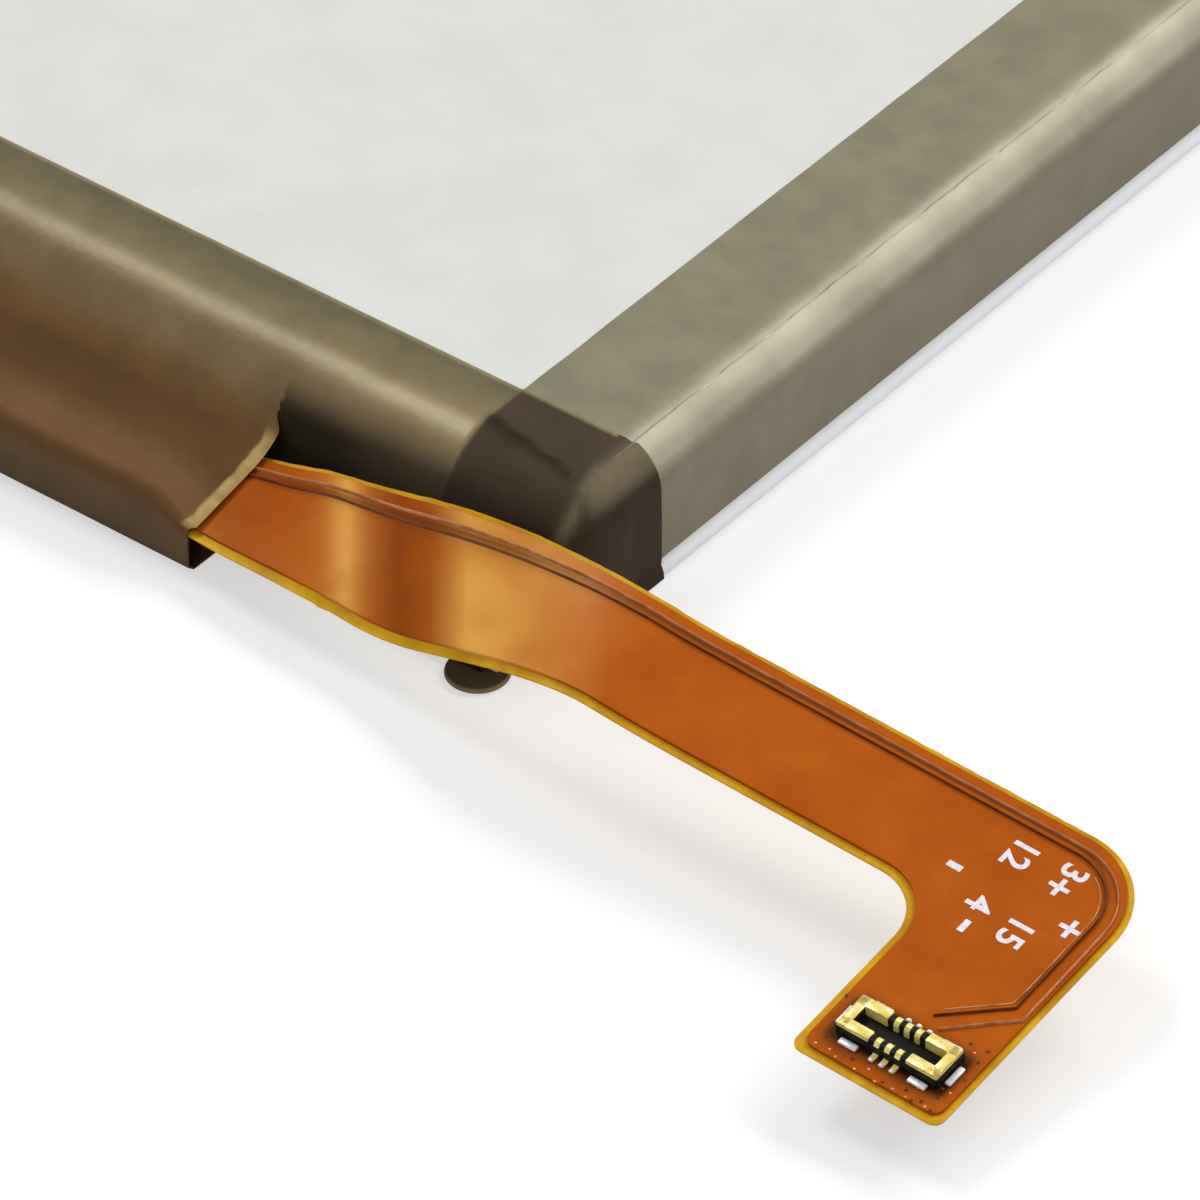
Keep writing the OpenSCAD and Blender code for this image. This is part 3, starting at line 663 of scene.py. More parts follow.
# %% Three kinds of column
flat_rows = [(y, top_z) for y in np.linspace(tape_rear_y, nose_y, FLAT_N)]
rise_rows = arc((nose_y, nose_z), nose_out, 90, 180 - SLIT_A, RISE_N)[1:]
half = math.tan(math.radians(SLOPE_A / 2))
shelf_in = SHELF_Z - TAPE_T
hollow_y = nose_y - (CELL_H - shelf_in) / math.tan(math.radians(SLOPE_A)) - (NOSE_R + HOLLOW_R) * half
slope = arc((nose_y, nose_z), nose_out, 90, 90 + SLOPE_A)
slope += arc((hollow_y, shelf_in + HOLLOW_R), HOLLOW_R - TAPE_T, SLOPE_A - 90, -90)
slope = spaced(slope + [(head_y + HEAD_R, SHELF_Z)], 200)
split = int(np.argmin(abs(slope[:, 0] - rise_rows[-1][0])))
bridge_path = np.array(
    flat_rows + spaced(slope[:split + 1], RISE_N)[1:].tolist() + spaced(slope[split:], OPEN_N + 1)[1:].tolist()
    + end_rows(SHELF_Z, HEAD_R)
)
leaves = rise_rows[-1]
SUNK = 0.1


def sunk_z(y):
    return float(lead_height(SLIT_X + 0.2, y)) + FILM_TOP + TAPE_T + SUNK


landing = (LEAD_REAR_Y - 0.75, sunk_z(LEAD_REAR_Y - 0.75))
down = (leaves[0] - 0.3, leaves[1] - 0.62)
drop = curve(leaves, down, (landing[0] + 0.5, landing[1] + 0.16), landing, 40).tolist()
SUNK_R = 0.26
drop += [(y, sunk_z(y)) for y in np.linspace(landing[0], head_y + SUNK_R, 30)[1:]]
sunk_path = np.array(
    flat_rows + rise_rows + spaced(drop, OPEN_N + 1)[1:].tolist() + end_rows(sunk_z(head_y + SUNK_R), SUNK_R)
)
WALL = [90 - a for a in np.linspace(90 - SLIT_A, 90, 8)[1:]]
wall_turns = [math.radians(a) for a in WALL]
wall_rows = [(nose_y - nose_out * math.cos(a), nose_z + nose_out * math.sin(a)) for a in wall_turns]
WALL_ZS = np.linspace(nose_z, TERRACE_HIGH + 0.37, 9)[1:]
wall_rows += [(FRONT_Y - TAPE_T, z) for z in WALL_ZS]
ledge = arc((FRONT_Y - TAPE_T - 0.3, TERRACE_HIGH + TAPE_T + 0.3), 0.3, 0, -90, 6)
ledge += arc((TERRACE_Y, (TERRACE_LOW + TERRACE_HIGH) / 2), TAPE_T + 0.125, 90, 270, 10)
ledge = spaced(ledge + [(FRONT_Y - BOTTOM_R, TERRACE_LOW - TAPE_T)], 20)[1:].tolist()
cup_path = np.array(flat_rows + rise_rows + wall_rows + ledge)
reach = np.concatenate([[0], np.cumsum(np.linalg.norm(np.diff(bridge_path, axis=0), axis=1))])
print("rows: bridge", len(bridge_path), "cup", len(cup_path), "path length", round(reach[-1], 2))

# %% Grids over the cup and the board
def lap(x):
    """How far the tape is raised where it steps up over an edge tape."""
    return TAPE_T * float(ease((abs(x) - (SIDE_X - SIDE_TAPE_TOP - TAPE_T)) / 0.14))


def outward(path):
    """At each point of a path, the direction away from what the tape lies on."""
    step = np.gradient(path, axis=0)
    step /= np.maximum(np.linalg.norm(step, axis=1, keepdims=True), 1e-6)
    return np.stack([-step[:, 1], step[:, 0]], axis=1) * -1


def cup_column(x):
    """A column that hugs the cup."""
    rows = cup_path + lap(x) * outward(cup_path)
    gentle = np.array([0.015 * ripple(x, k * 0.16, 1.6, 4.0) for k in range(len(rows))])
    gentle *= ease(np.arange(len(rows)) / 4) * float(ease((SHOULDER_X - abs(x)) / 1.5))
    gentle *= float(ease((x - SLIT_X) / 0.5)) if x > 0 else 1.0
    rows = rows + gentle[:, None] * outward(cup_path)
    shift = np.zeros(len(rows))
    shift[SHARED:] = -0.5 * float(1 - ease((x - SLIT_X) / 1.5)) * (x > 0)
    return [(x + s, y, z) for s, (y, z) in zip(shift, rows)]


def bridge_column(x):
    """A column over the board; near the slit it sinks onto the lead and its end rolls over."""
    sink = float(ease((x - SLIT_X + 1.55) / 1.5))
    path = (1 - sink) * bridge_path + sink * sunk_path
    gentle = np.array([0.02 * ripple(x, k * 0.14, 2.4, 2.0) for k in range(len(path))])
    open_rows = np.arange(len(path))
    gentle *= ease(open_rows / 4) * float(ease((SLIT_X - x) / 1.0)) * float(ease((x + SHOULDER_X) / 1.0))
    rolled = float(ease((x - SLIT_X + 0.5) / 0.22)) * (1 - 0.8 * float(ease((x - SLIT_X + 0.12) / 0.12)))
    free = ease((open_rows - SHARED) / 3) * (1 - ease((open_rows - SHARED - OPEN_N) / 4))
    path = path + (gentle + 0.10 * rolled * free)[:, None] * outward(path)
    over = 0.30 * free * float(ease((x - SLIT_X + 2.0) / 2.0))
    over *= 1 - 0.4 * ease((open_rows - SHARED - 6) / OPEN_N)
    return [(x + s, y, z) for s, (y, z) in zip(over, path)]


class Film:
    """Points, numbers and faces of the film while it is put together."""

    def __init__(self):
        self.points, self.faces, self.numbers = [], [], []

    def add(self, columns, numbers):
        """Joins neighbouring columns of points."""
        start, rows = len(self.points), len(columns[0])
        for column, values in zip(columns, numbers):
            self.points += [tuple(p) for p in column]
            self.numbers += values
        for i in range(len(columns) - 1):
            for j in range(rows - 1):
                a = start + i * rows + j
                self.faces.append((a, a + rows, a + rows + 1, a + 1))


FIELDS = ("along", "double", "low", "lip", "glow", "seam", "rim")


def rear_rim(j):
    """The cut rear edge catches the light in its first row."""
    return 0.8 * (1 - float(ease(j / 0.9)))


def bridge_numbers(column, x):
    """The FIELDS of a column over the board, row by row: next to the slit the rolled lip is pale."""
    made = []
    for j in range(len(column)):
        free = float(ease((j - SHARED - 2) / 4) * (1 - ease((j - SHARED - OPEN_N - 1) / 4)))
        lip = float(ease((x - SLIT_X + 0.40 + 0.08 * ripple(j, 0, 3.0, 6.0)) / 0.14)) * free
        lip *= 0.8 + 0.4 * ripple(j, x * 4, 2.0, 9.0)
        made.append((reach[j], 0.0, 0.0, lip, 0.0, 0.0, rear_rim(j)))
    return made


def fold_line_and_slit_shade(px, py, pz):
    """A dark wedge-shaped fold line under the double layer, and painted shade in the slit beside the lead."""
    # Painted shade in the recess beside the slit.
    shade = float(1 - ease((px - SLIT_X - 1.8) / 3.6)) * float(ease((nose_z + 1.62 - pz) / 0.5))
    t = (px - (SIDE_X - SIDE_TAPE_TOP)) / 4.3
    if not -0.05 < t < 1.05:
        return shade
    line_y = nose_y - 0.15 - 0.75 * t
    width = 0.42 - 0.3 * t if py < line_y else 0.07
    fold = 0.85 * math.exp(-((py - line_y) / width) ** 2)
    return max(fold * float(ease((t + 0.05) / 0.08) * ease((1.05 - t) / 0.2)), shade)


def cup_numbers(column):
    """The FIELDS of a column on the cup, with painted shade low on the wall and a painted highlight on the nose
    that grows towards the corner.
    """
    made = []
    for j, (px, py, pz) in enumerate(column):
        double = float(ease((abs(px) - SIDE_X + SIDE_TAPE_TOP) / 0.12))
        # Painted shade down the cup wall below the nose, also fed into the second-layer colour.
        low = float(ease((nose_z + 2.1 - pz) / 0.8))
        seam = fold_line_and_slit_shade(px, py, pz) if px > 0 else 0.0
        bend = 90 - math.degrees(math.atan2(pz - nose_z, nose_y - py))
        # A painted highlight along the nose, growing towards the corner.
        shine = 0.5 * (1 - double) * float(ease((px - 16.5) / 9)) * math.exp(-((bend - 20) / 13) ** 2)
        made.append((
            min(0.26 * j, 3.0), max(double, 0.8 * low), low * (0.6 + 0.4 * double), 0.0,
            shoulder_highlight_paint(px, py, pz), seam, rear_rim(j) + shine,
        ))
    return made


def shoulder_highlight_paint(px, py, pz):
    """A painted highlight: a pale band along the corner's edge, where the folded seal's end pushes the double film
    out, and on the ridge above it.
    """
    if px < 0:
        return 0.0
    band = math.exp(-((px - 30.35 - 0.1 * ripple(py, pz, 0.8, 1.0)) / 0.24) ** 2)
    band *= 0.8 * float(ease((pz - 3.3) / 0.5)) * float(ease((py + 44.2) / 0.6))
    band *= 0.8 + 0.5 * ripple(py, pz, 0.5, 2.0)
    ridge = float(ease((px - SHOULDER_X - 0.05) / 0.7))
    ridge *= float(ease((py + 43.5) / 1.3)) * float(ease((pz - 4.05) / 0.5))
    return max(band, 0.75 * ridge)


film = Film()
# Columns stand closer together towards the slit
left_xs = list(np.linspace(-SHOULDER_X, SLIT_X - 5, 110)) + list(np.linspace(SLIT_X - 5, SLIT_X - 0.6, 36)[1:])
left_xs += list(np.linspace(SLIT_X - 0.6, SLIT_X, 13)[1:])
bridge_columns = [bridge_column(x) for x in left_xs]
film.add(bridge_columns, [bridge_numbers(c, x) for c, x in zip(bridge_columns, left_xs)])
cup_columns = [cup_column(x) for x in np.linspace(SLIT_X, SHOULDER_X, 90)]
film.add(cup_columns, [cup_numbers(c) for c in cup_columns])
left_cup = cup_column(-SHOULDER_X)

# %% Fans round the two corners
def ray_tree(obj):
    """A solid's faces, in millimetres, ready to cast rays at."""
    mesh = obj.data
    return BVHTree.FromPolygons([v.co / MM for v in mesh.vertices], [p.vertices[:] for p in mesh.polygons])


pouch_rays, right_rays, left_rays = ray_tree(pouch_node), ray_tree(right_tape), ray_tree(left_tape)
FAN_AS = list(np.linspace(90, SLIT_A, RISE_N)) + WALL


def reach_of(rays, start, way, far=8):
    """How far out the solid's surface lies from a point inside it."""
    hit = rays.ray_cast(Vector(start) + Vector(way) * far, -Vector(way))
    return None if hit[0] is None else far - hit[3]


def fan_column(side, turn_deg, y=None):
    """Rows from the axis over the shoulder and down the wall; with y, a straight column on the side."""
    t = math.radians(turn_deg)
    flat = Vector((side * math.sin(t), -math.cos(t), 0))
    axis_y = nose_y if y is None else y
    tape_rays = right_rays if side > 0 else left_rays
    w = float(ease((turn_deg - 8) / 82))  # share of the edge tape's reach; the rest is the pouch's
    rows = []
    for k in range(len(FAN_AS) + len(WALL_ZS)):
        if k < len(FAN_AS):
            a, z = math.radians(FAN_AS[k]), nose_z
        else:
            a, z = 0.0, nose_z + (WALL_ZS[k - len(FAN_AS)] - nose_z) * (1 + 0.2 * w)
        way = flat * math.cos(a) + Vector((0, 0, math.sin(a)))
        pouch_d = reach_of(pouch_rays, (side * SHOULDER_X, axis_y, z), way) + 2 * TAPE_T
        if k == 0:
            pouch_d = top_z + TAPE_T - nose_z
        sideways = Vector((side, 0, 0)) * math.cos(a) + Vector((0, 0, math.sin(a)))
        tape_d = reach_of(tape_rays, (side * SHOULDER_X, nose_y + 0.3 if y is None else y + 0.02, z), sideways)
        tape_d = pouch_d if tape_d is None or k == 0 else tape_d + TAPE_T * 1.3
        centre = Vector((side * SHOULDER_X, axis_y, z))
        rows.append((centre, way, pouch_d, max(pouch_d, (1 - w) * pouch_d + w * tape_d)))
    return rows


def draped(fan, rounds=14):
    """Draws the film taut: each distance is evened out with its neighbours, but stays off the pouch."""
    least = np.array([[row[2] for row in column] for column in fan])
    reach = np.array([[row[3] for row in column] for column in fan])
    for _ in range(rounds):
        even = reach.copy()
        even[1:-1] = (reach[:-2] + 2 * reach[1:-1] + reach[2:]) / 4
        even[:, 1:-1] = (even[:, :-2] + 2 * even[:, 1:-1] + even[:, 2:]) / 4
        even[-1], even[:, 0] = reach[-1], reach[:, 0]
        reach = np.maximum(even, least)
    return [
        [tuple(row[0] + row[1] * float(d)) for row, d in zip(column, line)] for column, line in zip(fan, reach)
    ]


def fan_numbers(column):
    """The FIELDS of a column round the corner: double everywhere, painted shade below the shoulder and on the
    side, and the painted highlight of the corner's edge.
    """
    made = []
    for x, y, z in column:
        low = max(float(ease((nose_z + 2.1 - z) / 0.8)), float(ease((abs(x) - SIDE_X + 0.2) / 0.16)))
        made.append((1.5, 1.0, low, 0.0, shoulder_highlight_paint(x, y, z), 0.0, 0.0))
    return made


for side, first in ((1, cup_columns[-1]), (-1, left_cup)):
    start = [tuple(p) for p in first[FLAT_N - 1:FLAT_N - 1 + len(FAN_AS) + len(WALL_ZS)]]
    turns = np.linspace(0, 90, 19)[1:]
    columns = [start] + draped([fan_column(side, t) for t in turns])
    film.add(columns, [fan_numbers(c) for c in columns])
    edge = [columns[-1]]
    for k in range(FLAT_N - 2, -1, -1):
        column = [tuple(c + w * d) for c, w, _, d in fan_column(side, 90, float(first[k][1]))]
        column[0] = tuple(first[k])
        edge.append(column)
    film.add(edge, [fan_numbers(c) for c in edge])
print("film points:", len(film.points), "faces:", len(film.faces))

# %% Left end of the bridge
# The film's left end over the board is closed by a small wall, drawn as a strip down to the cup.
face_end = SHARED + OPEN_N + HEAD_N + FACE_N
top_line = bridge_columns[0][SHARED - 8:face_end]
low_line = [(x, y, 0.0) for x, y, _ in top_line]
start = len(film.points)
film.points += [tuple(p) for p in top_line] + low_line
film.numbers += [(8.7, 0.9, 0.0, 0.0, 0.0, 0.0, 0.0)] * (2 * len(top_line))
for k in range(len(top_line) - 1):
    a, b = start + k, start + len(top_line) + k
    film.faces.append((a, a + 1, b + 1, b))

# %% Make the film a solid
front_tape = link_mesh("front_tape_film", film.points, film.faces)
for k, name in enumerate(FIELDS):
    set_field(front_tape, name, [n[k] for n in film.numbers])
tidy_normals(front_tape, 0.004)
thick = front_tape.modifiers.new("thickness", "SOLIDIFY")
thick.thickness, thick.offset, thick.use_even_offset = TAPE_T * MM, -1, False
bake(front_tape)
sharpen(front_tape, 55)
dress(front_tape, front_tape_finish, "front_tape", "front_tape")

# %% [markdown]
# ## The ear
# Where the tape closes on itself below the lead, a rounded ear of it sticks out past the terrace.
# It is a flat disc with a bevelled rim. Only its front half shows, and the rim catches the light.

# %% Ear
EAR_R, EAR_H, EAR_X, EAR_Y, EAR_LIFT = 0.98, 0.18, SIDE_X - 1.6, TERRACE_Y - 0.18, 0.04
disc = bmesh.new()
bmesh.ops.create_cone(disc, cap_ends=True, segments=64, radius1=EAR_R, radius2=EAR_R - 0.04, depth=EAR_H)
bmesh.ops.translate(disc, verts=disc.verts, vec=(EAR_X, EAR_Y, EAR_H / 2 + EAR_LIFT))
bmesh.ops.bevel(disc, geom=disc.edges[:], offset=0.06, segments=3, affect="EDGES", profile=0.5)
ear = from_work("tape_ear", disc)
ear.data.transform(Matrix.Scale(MM, 4))
tidy_normals(ear)
sharpen(ear, 50)
# The ear takes the second-layer colour and painted shade, and a painted highlight on its rim.
set_field(ear, "double", [0.9] * len(ear.data.vertices))
set_field(ear, "low", [0.4] * len(ear.data.vertices))
from_axis = [math.hypot(v.co.x / MM - EAR_X, v.co.y / MM - EAR_Y) for v in ear.data.vertices]
set_field(ear, "rim", [0.6 * float(ease((r - EAR_R + 0.08) / 0.06)) for r in from_axis])
dress(ear, front_tape_finish, "front_tape")

# %% Outline of the lead
def outer_line(inset_by, start=0.0):
    """The lead's far edge from its root round the bend and down the tail, drawn in by a distance."""
    x0 = lead_start + start
    arm = [(x, LEAD_REAR_Y - inset_by) for x in np.linspace(x0, TAIL_X - BEND_OUT_R, 150)]
    a = np.linspace(0, math.pi / 2, 25)[1:]
    cx, cy, r = TAIL_X - BEND_OUT_R, LEAD_REAR_Y - BEND_OUT_R, BEND_OUT_R - inset_by
    bend = [(cx + r * math.sin(t), cy + r * math.cos(t)) for t in a]
    tail = [(TAIL_X - inset_by, y) for y in np.linspace(cy, bend_y, 8)[1:]]
    return np.array(arm + bend + tail)


def inner_line(inset_by, start=0.0):
    """The lead's near edge, with as many points as the far one."""
    x0 = lead_start + start
    arm = [(x, float(front_line(x)) + inset_by) for x in np.linspace(x0, bend_x, 150)]
    a = np.linspace(0, math.pi / 2, 32)[1:]
    r = BEND_IN_R + inset_by
    return np.array(arm + [(bend_x + r * math.sin(t), bend_y + r * math.cos(t)) for t in a])


def tail_lines(inset_by):
    """Both edges of the tail from the bend to its rounded end."""
    end = tail_y + inset_by
    left, right = TAIL_X - TAIL_W + inset_by, TAIL_X - inset_by
    ys = list(np.linspace(bend_y, end + TAIL_R, 30)[1:])
    corner = np.linspace(0, math.pi / 2, 7)[1:]
    far = [(right, y) for y in ys]
    far += [(right - TAIL_R * (1 - math.cos(t)), end + TAIL_R * (1 - math.sin(t))) for t in corner]
    near = [(left, y) for y in ys]
    near += [(left + TAIL_R * (1 - math.cos(t)), end + TAIL_R * (1 - math.sin(t))) for t in corner]
    return np.array(far), np.array(near)


def lead_grid(inset_by, steps_mm):
    """Plan points (along, across, 2). steps_mm are distances from the far edge; the rest is even."""
    far, near = outer_line(inset_by, inset_by), inner_line(inset_by, inset_by)
    far_tail, near_tail = tail_lines(inset_by)
    far, near = np.concatenate([far, far_tail]), np.concatenate([near, near_tail])
    width = np.linalg.norm(near - far, axis=1)
    grid = []
    for p, q, w in zip(far, near, width):
        shares = [s / w for s in steps_mm if s < 0.6 * w]
        last = shares[-1] if shares else 0.0
        total = len(steps_mm) + 14
        shares += list(np.linspace(last, 1, total - len(shares) + 1)[1:])
        grid.append([p + (q - p) * s for s in shares])
    return np.array(grid)


def on_lead(plan, above):
    """Lifts plan points onto the lead, above its underside."""
    z = lead_height(plan[..., 0], plan[..., 1]) + above
    return np.concatenate([plan, z[..., None]], axis=-1)


# %% [markdown]
# ## Finishes of the lead
# The lead is a sandwich. A yellow base film is wider than the copper on it, so it shows as a thin
# border, and an amber cover film over the copper gives the deep orange. Both are glossy, so they
# get a clear gloss, and the cover film is mottled a little where the glue is uneven. A painted
# highlight and painted shade on the waves, the grooves and the darker zone round the header are
# numbers on the mesh, which the finish turns into colours.

# %% Lead finishes
def film_finish(name, deep, bright, roughness, mottle_per_mm):
    """An amber film. Fields on the mesh paint highlights on its waves and shade in their troughs, and darken its
    grooves and the zone round the header.
    """
    made, tree, shader = new_finish(name, Roughness=roughness)
    shader.inputs["IOR"].default_value = 1.55
    shader.inputs["Specular Tint"].default_value = (1.0, 0.7, 0.2, 1)
    shader.inputs["Specular IOR Level"].default_value = 0.22
    cloud = speckle(tree, 0.45, 4.0)
    fine = speckle(tree, mottle_per_mm, 3.0)
    colour = mixed(tree, clamped(tree, cloud, 0.3, 0.7), deep, bright)
    colour = mixed(tree, clamped(tree, fine, 0.35, 0.75, 0.0, 0.3), colour, deep)
    # bright is a painted highlight on the waves. deep is painted shade in their troughs, and it also darkens the
    # zone round the header, the copper's edge and blotches at the tail's end.
    for key, over in (("bright", (222, 160, 74)), ("deep", (112, 46, 12)), ("groove", (58, 25, 9))):
        colour = mixed(tree, field(tree, key), colour, linear(*over))
    tree.links.new(colour, shader.inputs["Base Color"])
    bumped(tree, shader, fine, 0.003)
    return made


copper_finish = film_finish("amber_cover_film", linear(164, 72, 4), linear(178, 85, 8), 0.32, 5.0)
base_finish = film_finish("yellow_base_film", linear(176, 124, 12), linear(218, 168, 28), 0.4, 3.0)

# %% Base film
plan = lead_grid(0.0, [0.1, 0.3, 0.6])
for i in range(len(plan)):
    plan[i, 0, 1] += 0.02 * ripple(i, 0, 2.0, 3.0) if i < 150 else 0
lead_base = slab("lead_base_film", on_lead(plan, FILM_T), on_lead(plan, 0.0))
sharpen(lead_base)
dress(lead_base, base_finish, "flex_base", "flex_base_film")

# %% Copper and its cover film
header_x, header_y = TAIL_X - TAIL_W / 2, tail_y + 1.6
PITCH, ROW_COUNT, ROW_GAP = 0.35, 3, 0.89
WALL_T, POWER_L, POWER_GAP, CONTACT_W, CONTACT_T = 0.24, 1.05, 0.2, 0.17, 0.05
HEADER_L = (ROW_COUNT - 1) * PITCH + CONTACT_W + 2 * POWER_GAP + 2 * POWER_L
HEADER_W = ROW_GAP + WALL_T
TRACE_IN, TRACE_W, TRACE_GAP = 0.65, 0.18, 0.12
steps = list(np.arange(0.04, 1.3, 0.045))
plan = lead_grid(BORDER, steps)
upper, lower = on_lead(plan, FILM_TOP), on_lead(plan, FILM_T)
far = outer_line(BORDER, BORDER)
far_tail, _ = tail_lines(BORDER)
far_all = np.concatenate([far, far_tail])
from_far = np.linalg.norm(plan - far_all[:, None, :], axis=2) + BORDER
arm_part = (np.arange(len(plan)) < len(far))[:, None]
middle = TRACE_IN + TRACE_W + TRACE_GAP / 2
groove = 0.5 * np.exp(-((from_far - middle + 0.03) / 0.11) ** 2) * arm_part
rim = np.exp(-((from_far - BORDER) / 0.05) ** 2) * 0.5
wave = along_view(plan[..., 0], plan[..., 1])
# Painted highlight (bright) and painted shade (deep) across the two waves near the lead's root.
W_AT = [20.5, 22.3, 23.6, 24.5, 25.3, 26.4, 27.6, 28.9, 30.2, 31.8, 34.0]
bright = np.interp(wave, W_AT, [0, 0, 0.2, 0.75, 0.15, 0, 0.1, 0.85, 0.8, 0.35, 0]) * (1 - groove)
deep = np.interp(wave, W_AT, [0.3, 0.1, 0, 0, 0.15, 0.6, 0.25, 0, 0, 0, 0]) * (1 - groove)
uneven = np.array([ripple(p[0], p[1] * 1.6, 1.9, 12.0) for p in plan.reshape(-1, 2)]).reshape(wave.shape)
bright = np.clip(bright * (0.95 + 0.5 * uneven), 0, 1)
deep = np.maximum(deep * (1 + 0.4 * uneven), 0.5 * rim)
aside_x = np.maximum(np.abs(plan[..., 0] - header_x) - HEADER_L / 2, 0)
aside_y = np.maximum(np.abs(plan[..., 1] - header_y) - HEADER_W / 2, 0)
# The film is darker round the header.
near_header_dark = 1.3 * np.exp(-(np.hypot(aside_x, aside_y) / 0.3) ** 2)
blotch = np.array([0.35 * max(0.0, ripple(p[0], p[1], 0.5, 3.0)) for p in plan.reshape(-1, 2)])
end_zone = ease((tail_y + 1.4 - plan[..., 1]) / 0.8)
deep = np.clip(np.maximum(deep, near_header_dark + blotch.reshape(near_header_dark.shape) * end_zone), 0, 1)
lead_copper = slab("lead_cover_film", upper, lower)
sharpen(lead_copper)
# The grooves also darken in a narrow ring round the header's foot.
groove = np.maximum(groove, np.minimum(1, 1.6 * np.exp(-(np.hypot(aside_x, aside_y) / 0.25) ** 2)))
set_fields(lead_copper, {"groove": groove, "bright": bright, "deep": deep})
dress(lead_copper, copper_finish, "flex_copper", "flex_copper")

# %% [markdown]
# ## The sense traces
# Two thin copper tracks run under the cover film beside the far edge, and the film drapes over
# them as two low ridges. They follow a path, so Geometry Nodes makes them: a curve through points
# on the lead is swept with a flat round profile by Curve to Mesh, with its width and height as
# named inputs, and the result is kept as a plain mesh.

# %% Geometry Nodes helpers
def new_tree(name, sizes):
    """A geometry tree with named number inputs and their defaults."""
    made = bpy.data.node_groups.new(name, "GeometryNodeTree")
    made.interface.new_socket("Geometry", in_out="INPUT", socket_type="NodeSocketGeometry")
    for key, value in sizes.items():
        made.interface.new_socket(key, in_out="INPUT", socket_type="NodeSocketFloat").default_value = value
    made.interface.new_socket("Material", in_out="INPUT", socket_type="NodeSocketMaterial")
    made.interface.new_socket("Geometry", in_out="OUTPUT", socket_type="NodeSocketGeometry")
    source = made.nodes.new("NodeGroupInput")
    return made, source


def close_tree(made, source, geometry):
    """Ends a tree the same way each time: real geometry, then its material."""
    real = add_node(made, "GeometryNodeRealizeInstances", {0: geometry})
    coated = add_node(
        made, "GeometryNodeSetMaterial", {"Geometry": real.outputs[0], "Material": source.outputs["Material"]}
    )
    made.links.new(coated.outputs[0], made.nodes.new("NodeGroupOutput").inputs[0])


def grown(obj, tree, values):
    """Runs a tree on an object and keeps the plain mesh."""
    modifier = obj.modifiers.new("grow", "NODES")
    modifier.node_group = tree
    for item in tree.interface.items_tree:
        if item.item_type == "SOCKET" and item.in_out == "INPUT" and item.name in values:
            modifier[item.identifier] = values[item.name]
    bake(obj)
    return obj


# %% Ridge tree
def ridge_tree():
    """A low round ridge along a path, with its width and height as named inputs."""
    made, source = new_tree("ridge_along_path", {"Width": 0.18 * MM, "Height": 0.05 * MM})
    curve = add_node(made, "GeometryNodeMeshToCurve", {0: source.outputs["Geometry"]})
    circle = add_node(made, "GeometryNodeCurvePrimitiveCircle", {"Resolution": 12, "Radius": 0.5})
    height, width = source.outputs["Height"], source.outputs["Width"]
    scale = add_node(made, "ShaderNodeCombineXYZ", {0: height, 1: width, 2: 1.0})
    profile = add_node(made, "GeometryNodeTransform", {"Geometry": circle.outputs[0], "Scale": scale.outputs[0]})
    upright = add_node(made, "GeometryNodeSetCurveNormal", {0: curve.outputs[0]})
    upright.mode = "Z_UP"
    swept = add_node(
        made, "GeometryNodeCurveToMesh",
        {"Curve": upright.outputs[0], "Profile Curve": profile.outputs[0], "Fill Caps": True},
    )
    close_tree(made, source, swept.outputs[0])
    return made


def path_object(name, points, chained=True):
    """Points in millimetres, joined one to the next when they are a path."""
    edges = [(i, i + 1) for i in range(len(points) - 1)] if chained else []
    mesh = bpy.data.meshes.new(name)
    mesh.from_pydata([tuple(c * MM for c in p) for p in points], edges, [])
    return linked(name, mesh)


# %% Trace finish and traces
def trace_finish(name, dark, light):
    """Copper seen through the amber cover film, which tints its shine."""
    tint = {"Specular_Tint": (1.0, 0.8, 0.5, 1)}
    return two_tones(name, linear(*dark), linear(*light), 1.6, 6.0, 0.002, Roughness=0.35, **tint)


trace_tree = ridge_tree()
# The third ridge, trace_shine, is a painted highlight: a thin pale strip inside the two traces from the bend on.
TRACES = [
    ("outer_trace", 0.66, 0.40, (52.02, -51.05), (50.34, -52.64), 0.20, 0.05, (176, 104, 62), (212, 146, 104)),
    ("inner_trace", 0.95, 0.80, (51.62, -50.82), (49.94, -52.33), 0.2, 0.03, (92, 42, 16), (122, 62, 26)),
    ("trace_shine", 1.10, 0.95, (51.42, -50.72), (50.02, -51.98), 0.07, 0.03, (196, 128, 66), (232, 190, 140)),
]
for number, (name, arm_in, tail_in, turn, end, width, height, dark, light) in enumerate(TRACES):
    line = outer_line(arm_in, 0.5)
    drift = ease((np.arange(len(line)) - 150) / 30)
    tail = outer_line(tail_in, 0.5)
    line = line + (tail - line) * drift[:, None]
    if name == "trace_shine":
        line = line[158:]
    path_points = [tuple(p) for p in line if p[1] > turn[1] + 0.2]
    path_points += [tuple(np.array(turn) + (np.array(end) - turn) * s) for s in np.linspace(0, 1, 12)]
    path = path_object(name, on_lead(np.array(path_points), FILM_TOP).tolist())
    finish = trace_finish(name + "_film", dark, light)
    piece = grown(path, trace_tree, {"Width": width * MM, "Height": height * MM, "Material": finish})
    if number == 0:
        dress(piece, finish, "trace", "sense_traces")
    else:
        dress(piece, finish, "trace")

# %% [markdown]
# ## Printed marks
# White ink marks beside the bend say which contact is which. Here they are plain numbers with plus
# and minus signs. Each mark is a small text made into a mesh, turned to read along the tail, and
# then laid onto the lead's surface point by point.

# %% Marks
ink_finish = two_tones("white_ink", linear(214, 208, 214), linear(236, 232, 238), 8.0, 12.0, 0.004, Roughness=0.6)
TEXT_SIZE, INK_T, STROKE = 1.12, 0.012, 0.022
MARKS = [
    ("3", 50.04, -46.03, 1.0, 0), ("+", 49.99, -46.68, 1.15, 0), ("12", 48.45, -46.42, 1.0, 0),
    ("-", 47.21, -47.71, 1.6, 90), ("4", 48.60, -48.40, 1.0, 0), ("-", 48.7, -49.28, 1.5, 0),
    ("15", 49.98, -48.75, 1.0, 0), ("+", 51.12, -47.72, 1.2, 0),
]


